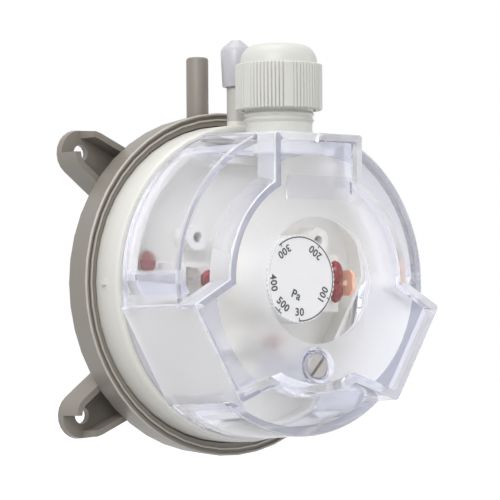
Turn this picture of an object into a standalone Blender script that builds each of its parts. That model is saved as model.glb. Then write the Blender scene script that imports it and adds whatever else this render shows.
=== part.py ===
"""Differential pressure switch with a grey base, a white upper housing and a clear cover.

The frame is X to the right, Z up and the wall plane at Y = 0, with the front of the
switch towards -Y. A "depth" is the distance of a point in front of the wall plane.
"""
import math

import bmesh
import bpy
from mathutils import Matrix, Vector

MM = 0.001
GAP = 0.3 * MM

# Facets round a circle, by the size of the circle
LARGE_SEGMENTS = 46
MEDIUM_SEGMENTS = 28
SMALL_SEGMENTS = 16

# Base housing: a shallow pan at the wall with a wider ring in front of it
PAN_RADIUS = 36.5 * MM
PAN_WALL = 2.2 * MM
PAN_FLOOR = 2.0 * MM
RING_BACK_DEPTH = 7.5 * MM
LIP_DEPTH = RING_BACK_DEPTH + 9.0 * MM
LIP_RADIUS = 42.8 * MM
RING_TAPER = 0.6 * MM
RING_BACK_RADIUS = LIP_RADIUS - RING_TAPER
LIP_WALL = 1.9 * MM
LIP_GROOVE_WIDTH = 0.8 * MM
LIP_GROOVE_DEPTH = 0.7 * MM
LIP_RECESS = 0.6 * MM
LIP_RECESS_DEPTH = LIP_DEPTH - LIP_RECESS
LIP_LEDGE = 1.3 * MM
SOCKET_RADIUS = LIP_RADIUS - LIP_WALL - LIP_LEDGE
SOCKET_LENGTH = 2.6 * MM
SEAT_DEPTH = LIP_RECESS_DEPTH - SOCKET_LENGTH
SEAT_WIDTH = 3.0 * MM
CHAMBER_RADIUS = SOCKET_RADIUS - SEAT_WIDTH
CHAMBER_STEP = 3.8 * MM
CHAMBER_STEP_DEPTH = SEAT_DEPTH - CHAMBER_STEP
EDGE_ROUND = 0.8 * MM

# Mounting lugs: an open cup round each screw hole, with its outer quarter left open
LUG_HOLE_X = 34.4 * MM
LUG_HOLE_Z = 32.3 * MM
LUG_HOLE_RADIUS = 2.1 * MM
LUG_TIP_RADIUS = 5.8 * MM
LUG_TAPER = 0.6 * MM
LUG_WALL = 1.5 * MM
LUG_FLOOR = 2.0 * MM
LUG_HEIGHT = RING_BACK_DEPTH + 0.2 * MM
LUG_LOW_SIDE_ANGLE = math.radians(-38.0)
LUG_HIGH_SIDE_ANGLE = math.radians(-24.6)

# Pressure ports
HIGH_PORT_X = -5.9 * MM
HIGH_PORT_DEPTH = RING_BACK_DEPTH + 4.5 * MM
HIGH_PORT_RADIUS = 2.8 * MM
PORT_LENGTH = 13.9 * MM
HIGH_PORT_TOP = LIP_RADIUS + PORT_LENGTH
LOW_PORT_DEPTH = LIP_DEPTH + 3.9 * MM
LOW_PORT_RADIUS = 2.45 * MM
LOW_PORT_TOP = LIP_RADIUS + PORT_LENGTH + 0.3 * MM
PORT_BORE_RADIUS = 1.2 * MM
PORT_EDGE = 0.7 * MM

# Port cap
CAP_BOTTOM = LOW_PORT_TOP - 8.1 * MM
CAP_TOP = LOW_PORT_TOP + 3.7 * MM
CAP_WALL = 0.8 * MM
CAP_FLARE = 0.4 * MM
CAP_BOTTOM_RADIUS = LOW_PORT_RADIUS + GAP + CAP_WALL
CAP_TOP_RADIUS = CAP_BOTTOM_RADIUS + CAP_FLARE
CAP_NIPPLE_RADIUS = 1.3 * MM

# Diaphragm and its plate
BEAD_HEIGHT = 1.7 * MM
BEAD_INNER_RADIUS = CHAMBER_RADIUS + GAP
MEMBRANE_THICKNESS = 0.6 * MM
MEMBRANE_DEPTH = SEAT_DEPTH + GAP + 0.1 * MM
ROLL_MARGIN = 1.7 * MM
ROLL_WIDTH = 6.5 * MM
ROLL_OUTER_RADIUS = CHAMBER_RADIUS - ROLL_MARGIN
ROLL_INNER_RADIUS = ROLL_OUTER_RADIUS - ROLL_WIDTH
ROLL_HEIGHT = 2.4 * MM
PLATE_MARGIN = 2.0 * MM
PLATE_RADIUS = ROLL_INNER_RADIUS - PLATE_MARGIN
PLATE_THICKNESS = 1.2 * MM
STEM_RADIUS = 1.6 * MM

# Upper housing
SKIRT_RADIUS = SOCKET_RADIUS - GAP
SHOULDER_START_DEPTH = LIP_DEPTH + 6.6 * MM
SHOULDER_HEIGHT = 1.3 * MM
SHOULDER_DEPTH = SHOULDER_START_DEPTH + SHOULDER_HEIGHT
SHOULDER_INSET = 1.0 * MM
SHOULDER_RADIUS = SKIRT_RADIUS - SHOULDER_INSET
PARTITION_THICKNESS = 1.8 * MM
PARTITION_FRONT_DEPTH = SHOULDER_DEPTH - 0.6 * MM
PARTITION_BACK_DEPTH = PARTITION_FRONT_DEPTH - PARTITION_THICKNESS
STEM_LENGTH = 4.1 * MM
STEM_TOP_DEPTH = PARTITION_FRONT_DEPTH + STEM_LENGTH
UPSTAND_WALL = 1.0 * MM
UPSTAND_DEPTH = PARTITION_FRONT_DEPTH + 4.2 * MM
SNAP_NUB_SIZE = 1.4 * MM
SNAP_NUB_DEPTH = LIP_DEPTH + 2.1 * MM
BOSS_X = 19.55 * MM
BOSS_Z = 10.8 * MM
BOSS_RADIUS = 3.2 * MM
BOSS_FRONT_DEPTH = PARTITION_FRONT_DEPTH + 5.8 * MM
BOSS_HOLE_RADIUS = 1.3 * MM
BOSS_HOLE_LENGTH = 6.0 * MM
MECHANISM_Z = 0.5 * MM
TOWER_RADIUS = 9.0 * MM
TOWER_WALL = 1.8 * MM
TOWER_HEIGHT = 19.0 * MM
TOWER_DEPTH = PARTITION_FRONT_DEPTH + TOWER_HEIGHT
LEVER_SLOT_START = STEM_TOP_DEPTH - 0.4 * MM
LEVER_SLOT_END = STEM_TOP_DEPTH + 5.1 * MM

# Gasket between the cover and the upper housing
GASKET_WIDTH = 1.7 * MM
GASKET_THICKNESS = 0.5 * MM

# Cover: a drum with three flats, and a raised front with an arm to each flat
COVER_DRUM_HEIGHT = 21.2 * MM
PLATEAU_HEIGHT = 6.7 * MM
COVER_RIM_DEPTH = SHOULDER_DEPTH + 2.0 * GAP + GASKET_THICKNESS
COVER_LEDGE_DEPTH = COVER_RIM_DEPTH + COVER_DRUM_HEIGHT
COVER_FRONT_DEPTH = COVER_LEDGE_DEPTH + PLATEAU_HEIGHT
DRUM_RIM_RADIUS = SHOULDER_RADIUS + 0.1 * MM
DRUM_TAPER = 0.8 * MM
DRUM_LEDGE_RADIUS = DRUM_RIM_RADIUS - DRUM_TAPER
PLATEAU_SETBACK = 9.8 * MM
PLATEAU_BACK_RADIUS = DRUM_LEDGE_RADIUS - PLATEAU_SETBACK
PLATEAU_FRONT_RADIUS = PLATEAU_BACK_RADIUS - DRUM_TAPER
FLAT_SETBACK = 1.8 * MM
FLAT_TAPER = 1.2 * MM
FLAT_RIM_DISTANCE = DRUM_RIM_RADIUS - FLAT_SETBACK
FLAT_FRONT_DISTANCE = FLAT_RIM_DISTANCE - FLAT_TAPER
UPSTAND_FLAT_ROOM = 6.4 * MM
UPSTAND_FLAT_DISTANCE = FLAT_RIM_DISTANCE - UPSTAND_FLAT_ROOM
FLAT_RIM_HALF_WIDTH = 14.0 * MM
ARM_TAPER = 0.6 * MM
FLAT_FRONT_HALF_WIDTH = FLAT_RIM_HALF_WIDTH - ARM_TAPER
COVER_WALL = 2.3 * MM
FLAT_WALL = 2.0 * MM
CORNER_MARGIN = 0.1 * MM
FLAT_ANGLES = [math.radians(a) for a in (90.0, 210.0, 330.0)]
LABEL_HALF_WIDTH = 9.9 * MM
LABEL_HIGH = PLATEAU_FRONT_RADIUS - 2.0 * MM
LABEL_HEIGHT = 5.6 * MM
LABEL_LOW = LABEL_HIGH - LABEL_HEIGHT
LABEL_RECESS = 0.5 * MM
RIB_DISTANCE = FLAT_RIM_DISTANCE - 6.1 * MM
RIB_WALL = 1.2 * MM
RIB_INNER = FLAT_RIM_HALF_WIDTH - 0.4 * MM
RIB_OUTER = RIB_INNER + 5.7 * MM
RIB_BACK_DEPTH = UPSTAND_DEPTH + 1.0 * MM

# Cover screw and the pillar round it
SCREW_Z = -20.6 * MM
PILLAR_RADIUS = 3.2 * MM
SCREW_POST_HEIGHT = 7.2 * MM
PILLAR_END_DEPTH = PARTITION_FRONT_DEPTH + SCREW_POST_HEIGHT + GAP
SCREW_POST_RADIUS = 3.6 * MM
SCREW_RADIUS = 1.5 * MM
SCREW_HOLE_RADIUS = SCREW_RADIUS + GAP + 0.05 * MM
SCREW_TIP_DEPTH = PARTITION_FRONT_DEPTH + 1.8 * MM
SCREW_HEAD_RADIUS = SCREW_RADIUS + 1.5 * MM
SCREW_HEAD_HEIGHT = 1.6 * MM
SCREW_SLOT_WIDTH = 0.9 * MM
SCREW_SLOT_DEPTH = 0.9 * MM
SCREW_SLOT_ANGLE = math.radians(48.0)
WELL_RADIUS = SCREW_HEAD_RADIUS + GAP + 0.05 * MM
WELL_DEPTH = 3.8 * MM
WELL_BEVEL = 0.75 * MM
PILLAR_HEAD_RADIUS = WELL_RADIUS + 1.25 * MM
PILLAR_HEAD_LENGTH = WELL_DEPTH + 1.4 * MM
O_RING_THICKNESS = 0.6 * MM

# Cable gland, on the upper flat
GLAND_SETBACK = 12.2 * MM
GLAND_DEPTH = COVER_RIM_DEPTH + GLAND_SETBACK
NECK_RADIUS = 8.15 * MM
THREAD_HEIGHT = 0.55 * MM
THREAD_RADIUS = NECK_RADIUS + THREAD_HEIGHT
THREAD_PITCH = 1.45 * MM
THREAD_START = FLAT_RIM_DISTANCE + 2.0 * MM
THREAD_TURNS = 4
FLANGE_RADIUS = NECK_RADIUS + 2.35 * MM
FLANGE_THICKNESS = 2.4 * MM
FLANGE_TOP = FLAT_FRONT_DISTANCE - FLAT_WALL - 0.2 * MM
FLANGE_BOTTOM = FLANGE_TOP - FLANGE_THICKNESS
GLAND_BORE_RADIUS = NECK_RADIUS - 2.55 * MM
FINGER_RADIUS = NECK_RADIUS - 0.75 * MM
FINGER_WALL = 0.8 * MM
FINGER_RISE = 11.4 * MM
FINGER_START = THREAD_START + FINGER_RISE
FINGER_LENGTH = 3.6 * MM
FINGER_TOP = FINGER_START + FINGER_LENGTH
SEAL_SEAT = FINGER_START - 0.8 * MM
FINGER_SLOT = 1.2 * MM
SEAL_BORE_RADIUS = 3.4 * MM
SEAL_TOP = FINGER_TOP + 0.4 * MM
NUT_BOTTOM = FINGER_START - 7.5 * MM
NUT_SHOULDER = FINGER_TOP - 0.2 * MM
NUT_DOME_HEIGHT = 4.5 * MM
NUT_TOP = NUT_SHOULDER + NUT_DOME_HEIGHT
NUT_WALL = 1.65 * MM
NUT_RADIUS = THREAD_RADIUS + GAP + NUT_WALL
NUT_GROOVE = 0.45 * MM
NUT_DOME_RADIUS = NUT_RADIUS - 1.15 * MM
NUT_TOP_RADIUS = 5.6 * MM
NUT_HOLE_RADIUS = 4.8 * MM
NUT_CAVITY_RADIUS = FINGER_RADIUS + 0.5 * MM
NUT_GROOVES_PER_FIELD = 9
NUT_FIELD_ANGLE = math.radians(46.0)
NUT_FIRST_FIELD = math.radians(-144.0)
NUT_FIELDS = 6

# Setting knob with its adjuster, and the range spring
KNOB_SKIRT_WALL = 1.1 * MM
KNOB_TOOTH = 0.35 * MM
KNOB_RADIUS = TOWER_RADIUS + GAP + KNOB_SKIRT_WALL + KNOB_TOOTH
KNOB_TEETH = 54
KNOB_DISC = 2.2 * MM
KNOB_FRONT_DEPTH = TOWER_DEPTH + GAP + KNOB_DISC
KNOB_SKIRT_HEIGHT = 4.0 * MM
KNOB_SKIRT_DEPTH = KNOB_FRONT_DEPTH - KNOB_DISC - KNOB_SKIRT_HEIGHT
KNOB_STEM_RADIUS = 2.4 * MM
ADJUSTER_THICKNESS = 2.0 * MM
ADJUSTER_TRAVEL = 2.3 * MM
ADJUSTER_DEPTH = TOWER_DEPTH - ADJUSTER_TRAVEL - ADJUSTER_THICKNESS - 1.6 * MM
KEYWAY_DEPTH = ADJUSTER_DEPTH - ADJUSTER_TRAVEL
KNOB_STEM_END_DEPTH = ADJUSTER_DEPTH - 3.3 * MM
KEY_WIDTH = 1.8 * MM
KEYWAY_WIDTH = KEY_WIDTH + 2.0 * GAP
SPRING_RADIUS = 5.0 * MM
SPRING_WIRE_RADIUS = 0.4 * MM
SPRING_TURNS = 4.0
SEAT_DISC_RADIUS = TOWER_RADIUS - TOWER_WALL - GAP
SEAT_DISC_THICKNESS = 1.1 * MM
SEAT_HUB_RADIUS = 2.8 * MM
SEAT_HUB_HEIGHT = 1.4 * MM

# Switch: carrier, moving contact and fixed contacts, at the right of the tower
CARRIER_BACK = PARTITION_FRONT_DEPTH + GAP
CARRIER_FOOT_FRONT = CARRIER_BACK + 1.9 * MM
CARRIER_LEFT = 12.6 * MM
CARRIER_MIDDLE = 16.6 * MM
CARRIER_RIGHT = 26.0 * MM
CARRIER_HALF_WIDTH = 7.0 * MM
BRIDGE_LEFT = 16.9 * MM
BRIDGE_RIGHT = 20.8 * MM
BRIDGE_LEG = 2.8 * MM
BRIDGE_THICKNESS = 2.4 * MM
BRIDGE_HEIGHT = 10.5 * MM
BRIDGE_FRONT = CARRIER_BACK + BRIDGE_HEIGHT
BRIDGE_BACK = BRIDGE_FRONT - BRIDGE_THICKNESS
MOVING_STRIP_THICKNESS = 0.4 * MM
MOVING_STRIP_HALF_WIDTH = 1.9 * MM
LEVER_SLOT_WIDTH = 2.0 * MOVING_STRIP_HALF_WIDTH + 2.2 * MM
MOVING_STRIP_START = SEAT_DISC_RADIUS - 0.8 * MM
CONTACT_X = 14.6 * MM
CONTACT_RADIUS = 1.1 * MM
CONTACT_HEIGHT = 0.5 * MM
CONTACT_OPEN_GAP = 0.65 * MM
CONTACT_BUTTON = 0.25 * MM
FIXED_STRIP_THICKNESS = 0.5 * MM
FIXED_STRIP_HALF_WIDTH = 1.5 * MM

# Blade terminals
BLADE_WIDTH = 6.3 * MM
BLADE_THICKNESS = 0.8 * MM
BLADE_HOLE_RADIUS = 0.8 * MM
RIGHT_BLADE_X = BRIDGE_RIGHT + 1.2 * MM
RIGHT_BLADE_HEIGHT = 15.3 * MM
RIGHT_BLADE_TOP_DEPTH = CARRIER_BACK + RIGHT_BLADE_HEIGHT
LEFT_POST_X = -20.2 * MM
LEFT_BLADE_X = -24.2 * MM
LOWER_BLADE_X = -5.7 * MM
LOWER_BLADE_Z = -14.0 * MM
LOWER_DAB_X = 0.6 * MM
POST_FRONT_DEPTH = PARTITION_FRONT_DEPTH + 8.4 * MM
SMALL_BLADE_TOP_DEPTH = POST_FRONT_DEPTH + 4.3 * MM
LEFT_POST_HALF_LENGTH = 4.6 * MM
LEFT_POST_HALF_WIDTH = 2.5 * MM

# Calibration screws and the red lacquer that seals them
CALIBRATION_RADIUS = 1.5 * MM
CALIBRATION_HEAD_RADIUS = 1.9 * MM
CALIBRATION_HEAD = 1.1 * MM
RIGHT_CALIBRATION_X = (BRIDGE_LEFT + BRIDGE_RIGHT) / 2.0
SIDE_CALIBRATION_ROOM = 8.2 * MM
SIDE_CALIBRATION_X = SIDE_CALIBRATION_ROOM - DRUM_RIM_RADIUS
SIDE_CALIBRATION_Z = 4.7 * MM

# Colours, linear
GREY = (0.215, 0.190, 0.168, 1.0)
OFF_WHITE = (0.72, 0.70, 0.64, 1.0)
WHITE = (0.83, 0.83, 0.81, 1.0)
CLEAR = (0.86, 0.86, 0.93, 1.0)
MILKY = (0.78, 0.78, 0.86, 1.0)
RUBBER_GREY = (0.12, 0.12, 0.12, 1.0)
SILICONE = (0.60, 0.42, 0.30, 1.0)
COPPER = (0.80, 0.36, 0.18, 1.0)
BRASS = (0.75, 0.56, 0.24, 1.0)
STEEL = (0.62, 0.63, 0.66, 1.0)
LACQUER = (0.42, 0.01, 0.02, 1.0)


def clear_scene():
    for item in list(bpy.data.objects):
        bpy.data.objects.remove(item, do_unlink=True)


def make_material(name, colour, roughness, metallic=0.0):
    material = bpy.data.materials.new(name)
    material.use_nodes = True
    shader = material.node_tree.nodes["Principled BSDF"]
    shader.inputs["Base Color"].default_value = colour
    shader.inputs["Roughness"].default_value = roughness
    shader.inputs["Metallic"].default_value = metallic
    material.diffuse_color = colour
    return material


def add_object(name, mesh_data, material=None):
    item = bpy.data.objects.new(name, mesh_data)
    bpy.context.scene.collection.objects.link(item)
    if material is not None:
        mesh_data.materials.append(material)
    return item


def finish_mesh(bm, name, weld=1e-7):
    """Weld, turn the faces outward and shade the round faces smooth."""
    bmesh.ops.remove_doubles(bm, verts=bm.verts, dist=weld)
    bmesh.ops.recalc_face_normals(bm, faces=bm.faces)
    mesh_data = bpy.data.meshes.new(name)
    bm.to_mesh(mesh_data)
    bm.free()
    mesh_data.shade_smooth()
    mesh_data.set_sharp_from_angle(angle=math.radians(32.0))
    return mesh_data


def lathe(profile, segments, axis="depth", centre=(0.0, 0.0)):
    """Turn a closed profile of (radius, height) points round an axis.

    The axis runs to the front ("depth", centre in X and Z) or up ("up", centre in X and depth).
    """
    bm = bmesh.new()
    rings = []
    for radius, height in profile:
        count = 1 if radius < 1e-9 else segments
        ring = []
        for i in range(count):
            angle = 2.0 * math.pi * i / segments
            across = centre[0] + radius * math.cos(angle)
            along = centre[1] + radius * math.sin(angle)
            point = (across, -height, along) if axis == "depth" else (across, -along, height)
            ring.append(bm.verts.new(point))
        rings.append(ring)
    for i, ring in enumerate(rings):
        following = rings[(i + 1) % len(rings)]
        if len(ring) == 1 and len(following) == 1:
            continue
        for j in range(segments):
            k = (j + 1) % segments
            corners = [ring[j % len(ring)], ring[k % len(ring)],
                       following[k % len(following)], following[j % len(following)]]
            bm.faces.new(list(dict.fromkeys(corners)))
    return bm


def loft(levels, place):
    """Join closed outlines of equal length; each level is (outline, height)."""
    bm = bmesh.new()
    rings = [[bm.verts.new(place(a, b, height)) for a, b in outline] for outline, height in levels]
    for lower, upper in zip(rings, rings[1:]):
        for j in range(len(lower)):
            k = (j + 1) % len(lower)
            bm.faces.new([lower[j], lower[k], upper[k], upper[j]])
    bm.faces.new(rings[0])
    bm.faces.new(rings[-1])
    return bm


def at_depth(a, b, height):
    return (a, -height, b)


def at_height(a, b, height):
    return (a, -b, height)


def add_lathe(name, profile, segments, material, axis="depth", centre=(0.0, 0.0)):
    return add_object(name, finish_mesh(lathe(profile, segments, axis, centre), name), material)


def add_loft(name, levels, material, place=at_depth):
    return add_object(name, finish_mesh(loft(levels, place), name), material)


def disc(radius, back, front):
    return [(0.0, back), (radius, back), (radius, front), (0.0, front)]


def tube(outer, inner, back, front):
    return [(inner, back), (outer, back), (outer, front), (inner, front)]


def rectangle(low_a, high_a, low_b, high_b):
    return [(low_a, low_b), (high_a, low_b), (high_a, high_b), (low_a, high_b)]


def box(name, low_x, high_x, back, front, low_z, high_z, material=None):
    outline = rectangle(low_x, high_x, low_z, high_z)
    return add_loft(name, [(outline, back), (outline, front)], material)


def apply_boolean(target, tools, operation):
    """Combine a solid with each tool solid in turn, and remove the tool."""
    material = target.data.materials[0] if target.data.materials else None
    for tool in tools:
        modifier = target.modifiers.new(operation.lower(), "BOOLEAN")
        modifier.operation = operation
        modifier.solver = "EXACT"
        modifier.object = tool
        bpy.context.view_layer.update()
        evaluated = target.evaluated_get(bpy.context.evaluated_depsgraph_get())
        bm = bmesh.new()
        bm.from_mesh(evaluated.to_mesh())
        evaluated.to_mesh_clear()
        target.modifiers.clear()
        target.data = finish_mesh(bm, target.name)
        bpy.data.objects.remove(tool, do_unlink=True)
    target.data.materials.clear()
    if material is not None:
        target.data.materials.append(material)
    for polygon in target.data.polygons:
        polygon.material_index = 0
    return target


def unite(target, tools):
    return apply_boolean(target, tools, "UNION")


def cut(target, tools):
    return apply_boolean(target, tools, "DIFFERENCE")


def arc_points(centre, radius, start, end, steps):
    """Points along an arc, with both ends."""
    points = []
    for i in range(steps + 1):
        angle = start + (end - start) * i / steps
        points.append((centre[0] + radius * math.cos(angle), centre[1] + radius * math.sin(angle)))
    return points


def move_origin(item, x, depth, z):
    """Put the object's origin at a point, with its mesh left in place."""
    point = Vector((x, -depth, z))
    item.data.transform(Matrix.Translation(-point))
    item.location = point


def base_profile():
    """Section of the base: pan floor, pan wall, ring, lip and diaphragm seat."""
    inner_pan = PAN_RADIUS - PAN_WALL
    lip_inner = LIP_RADIUS - LIP_WALL
    half_round = 0.35 * MM
    groove_outer = LIP_RADIUS - 2.0 * half_round
    return [
        (0.0, 0.0),
        (PAN_RADIUS - EDGE_ROUND, 0.0),
        (PAN_RADIUS, EDGE_ROUND),
        (PAN_RADIUS, RING_BACK_DEPTH),
        (RING_BACK_RADIUS - EDGE_ROUND, RING_BACK_DEPTH),
        (RING_BACK_RADIUS, RING_BACK_DEPTH + EDGE_ROUND),
        (LIP_RADIUS, LIP_DEPTH - half_round),
        (LIP_RADIUS - half_round, LIP_DEPTH),
        (groove_outer, LIP_DEPTH),
        (groove_outer, LIP_DEPTH - LIP_GROOVE_DEPTH),
        (groove_outer - LIP_GROOVE_WIDTH, LIP_DEPTH - LIP_GROOVE_DEPTH),
        (groove_outer - LIP_GROOVE_WIDTH, LIP_DEPTH),
        (lip_inner, LIP_DEPTH),
        (lip_inner, LIP_RECESS_DEPTH),
        (SOCKET_RADIUS, LIP_RECESS_DEPTH),
        (SOCKET_RADIUS, SEAT_DEPTH),
        (CHAMBER_RADIUS, SEAT_DEPTH),
        (CHAMBER_RADIUS, CHAMBER_STEP_DEPTH),
        (inner_pan, CHAMBER_STEP_DEPTH),
        (inner_pan, PAN_FLOOR),
        (0.0, PAN_FLOOR),
    ]


def lug_outline(tip_radius, root_radius, side_x, side_z):
    """Plan of a lug: an arc round the hole, two straight sides and an arc at the root.

    side_x and side_z are 1 or -1 and mirror the upper left lug to the other corners.
    """
    hole = Vector((-LUG_HOLE_X, LUG_HOLE_Z))

    def along(angle):
        return Vector((math.cos(angle), math.sin(angle)))

    def reach_root(start, direction):
        """Where a side meets the root circle."""
        middle = start.dot(direction)
        half_chord = math.sqrt(middle ** 2 - start.length_squared + root_radius ** 2)
        return start - direction * (middle + half_chord)

    low_tangent = LUG_LOW_SIDE_ANGLE - math.pi / 2.0
    high_tangent = LUG_HIGH_SIDE_ANGLE + math.pi / 2.0
    tip = arc_points(hole, tip_radius, high_tangent, low_tangent + 2.0 * math.pi, 10)
    high_root = reach_root(Vector(tip[0]), along(LUG_HIGH_SIDE_ANGLE))
    low_root = reach_root(Vector(tip[-1]), along(LUG_LOW_SIDE_ANGLE))
    root = arc_points((0.0, 0.0), root_radius, math.atan2(low_root.y, low_root.x),
                      math.atan2(high_root.y, high_root.x), 4)
    return [(-x * side_x, z * side_z) for x, z in tip + root]


def make_lug(side_x, side_z):
    """One mounting lug for the corner where x has the sign side_x and z the sign side_z."""
    buried = PAN_RADIUS - PAN_WALL / 2.0
    wall_side = lug_outline(LUG_TIP_RADIUS, buried, side_x, side_z)
    front_side = lug_outline(LUG_TIP_RADIUS - LUG_TAPER, buried, side_x, side_z)
    lug = add_loft("lug", [(wall_side, 0.0), (front_side, LUG_HEIGHT)], None)
    pocket_outline = lug_outline(LUG_TIP_RADIUS - LUG_TAPER - LUG_WALL, PAN_RADIUS + 0.1 * MM, side_x, side_z)
    pocket = add_loft("pocket", [(pocket_outline, LUG_FLOOR), (pocket_outline, LUG_HEIGHT + 1.0 * MM)], None)
    hole = add_lathe("hole", disc(LUG_HOLE_RADIUS, -1.0 * MM, LUG_FLOOR + 1.0 * MM), SMALL_SEGMENTS, None,
                     centre=(side_x * LUG_HOLE_X, side_z * LUG_HOLE_Z))
    reach = 3.0 * LUG_TIP_RADIUS
    xs = sorted((side_x * LUG_HOLE_X, side_x * (LUG_HOLE_X + reach)))
    zs = sorted((side_z * LUG_HOLE_Z, side_z * (LUG_HOLE_Z + reach)))
    open_quarter = box("open_quarter", xs[0], xs[1], LUG_FLOOR, LUG_HEIGHT + 1.0 * MM, zs[0], zs[1])
    return cut(lug, [pocket, hole, open_quarter])


def port_profile(radius, bottom, top):
    """Outside of a hose port, with a rounded end."""
    return [(0.0, bottom), (radius, bottom), (radius, top - PORT_EDGE), (radius - 0.2 * MM, top - 0.25 * MM),
            (radius - PORT_EDGE, top), (0.0, top)]


def make_base(material):
    base = add_lathe("base_housing", base_profile(), LARGE_SEGMENTS, material)
    lugs = [make_lug(x, z) for x in (-1, 1) for z in (-1, 1)]
    port_foot = SOCKET_RADIUS + GAP
    port = add_lathe("port", port_profile(HIGH_PORT_RADIUS, port_foot, HIGH_PORT_TOP), SMALL_SEGMENTS, None,
                     axis="up", centre=(HIGH_PORT_X, HIGH_PORT_DEPTH))
    unite(base, lugs + [port])
    bore = add_lathe("bore", disc(PORT_BORE_RADIUS, CHAMBER_RADIUS - 3.0 * MM, HIGH_PORT_TOP + 1.0 * MM),
                     SMALL_SEGMENTS, None, axis="up", centre=(HIGH_PORT_X, HIGH_PORT_DEPTH))
    return cut(base, [bore])


def membrane_line(offset):
    """Radius and depth along the membrane from its roll to the centre."""
    middle = (ROLL_INNER_RADIUS + ROLL_OUTER_RADIUS) / 2.0
    half = (ROLL_OUTER_RADIUS - ROLL_INNER_RADIUS) / 2.0
    points = []
    steps = 4
    for i in range(steps + 1):
        angle = math.pi * i / steps
        height = MEMBRANE_DEPTH + offset + ROLL_HEIGHT * math.sin(angle)
        points.append((middle + half * math.cos(angle), height))
    return points


def make_diaphragm(material):
    """Silicone diaphragm with a bead at its edge and one rolled fold."""
    outer = SOCKET_RADIUS - GAP
    bead_back = SEAT_DEPTH + GAP
    bead_front = bead_back + BEAD_HEIGHT
    back = membrane_line(0.0)
    front = membrane_line(MEMBRANE_THICKNESS)
    profile = [(0.0, MEMBRANE_DEPTH)] + back[::-1]
    profile += [(BEAD_INNER_RADIUS, MEMBRANE_DEPTH), (BEAD_INNER_RADIUS, bead_back), (outer, bead_back)]
    profile += [(outer, bead_front), (BEAD_INNER_RADIUS, bead_front)]
    profile += [(BEAD_INNER_RADIUS, MEMBRANE_DEPTH + MEMBRANE_THICKNESS)] + front
    profile += [(0.0, MEMBRANE_DEPTH + MEMBRANE_THICKNESS)]
    return add_lathe("diaphragm", profile, MEDIUM_SEGMENTS, material)


def make_diaphragm_plate(material):
    """Stiff plate on the diaphragm, with the stem that passes through the partition."""
    back = MEMBRANE_DEPTH + MEMBRANE_THICKNESS + GAP
    front = back + PLATE_THICKNESS
    collar = 4.0 * MM
    profile = [(0.0, back), (PLATE_RADIUS, back), (PLATE_RADIUS, front), (collar, front),
               (STEM_RADIUS, front + 1.6 * MM), (STEM_RADIUS, STEM_TOP_DEPTH), (0.0, STEM_TOP_DEPTH)]
    return add_lathe("diaphragm_plate", profile, MEDIUM_SEGMENTS, material)


def shoulder_points():
    """Convex shoulder of the upper housing, from its straight skirt to the gasket face."""
    points = []
    steps = 3
    for i in range(steps + 1):
        angle = math.pi / 2.0 * i / steps
        radius = SHOULDER_RADIUS + (SKIRT_RADIUS - SHOULDER_RADIUS) * math.cos(angle)
        depth = SHOULDER_START_DEPTH + (SHOULDER_DEPTH - SHOULDER_START_DEPTH) * math.sin(angle)
        points.append((radius, depth))
    return points


def upstand_radius():
    """Outside of the upstand, which locates the cover's rim."""
    return DRUM_RIM_RADIUS - COVER_WALL - GAP


def chord_outline(radius, flat_distance):
    """Circle cut by three flats, at the same angles as the cover's."""
    half = math.acos(flat_distance / radius)
    points = []
    for flat in FLAT_ANGLES:
        points += arc_points((0.0, 0.0), radius, flat + half, flat + 2.0 * math.pi / 3.0 - half, 8)
    return points


def make_upstand(back):
    """Wall round the inside of the upper housing, with a flat behind each flat of the cover."""
    radius = upstand_radius()
    outer = chord_outline(radius, UPSTAND_FLAT_DISTANCE)
    inner = chord_outline(radius - UPSTAND_WALL, UPSTAND_FLAT_DISTANCE - UPSTAND_WALL)
    wall = add_loft("upstand", [(outer, back), (outer, UPSTAND_DEPTH)], None)
    room = add_loft("room", [(inner, back - 1.0 * MM), (inner, UPSTAND_DEPTH + 1.0 * MM)], None)
    return cut(wall, [room])


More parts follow.
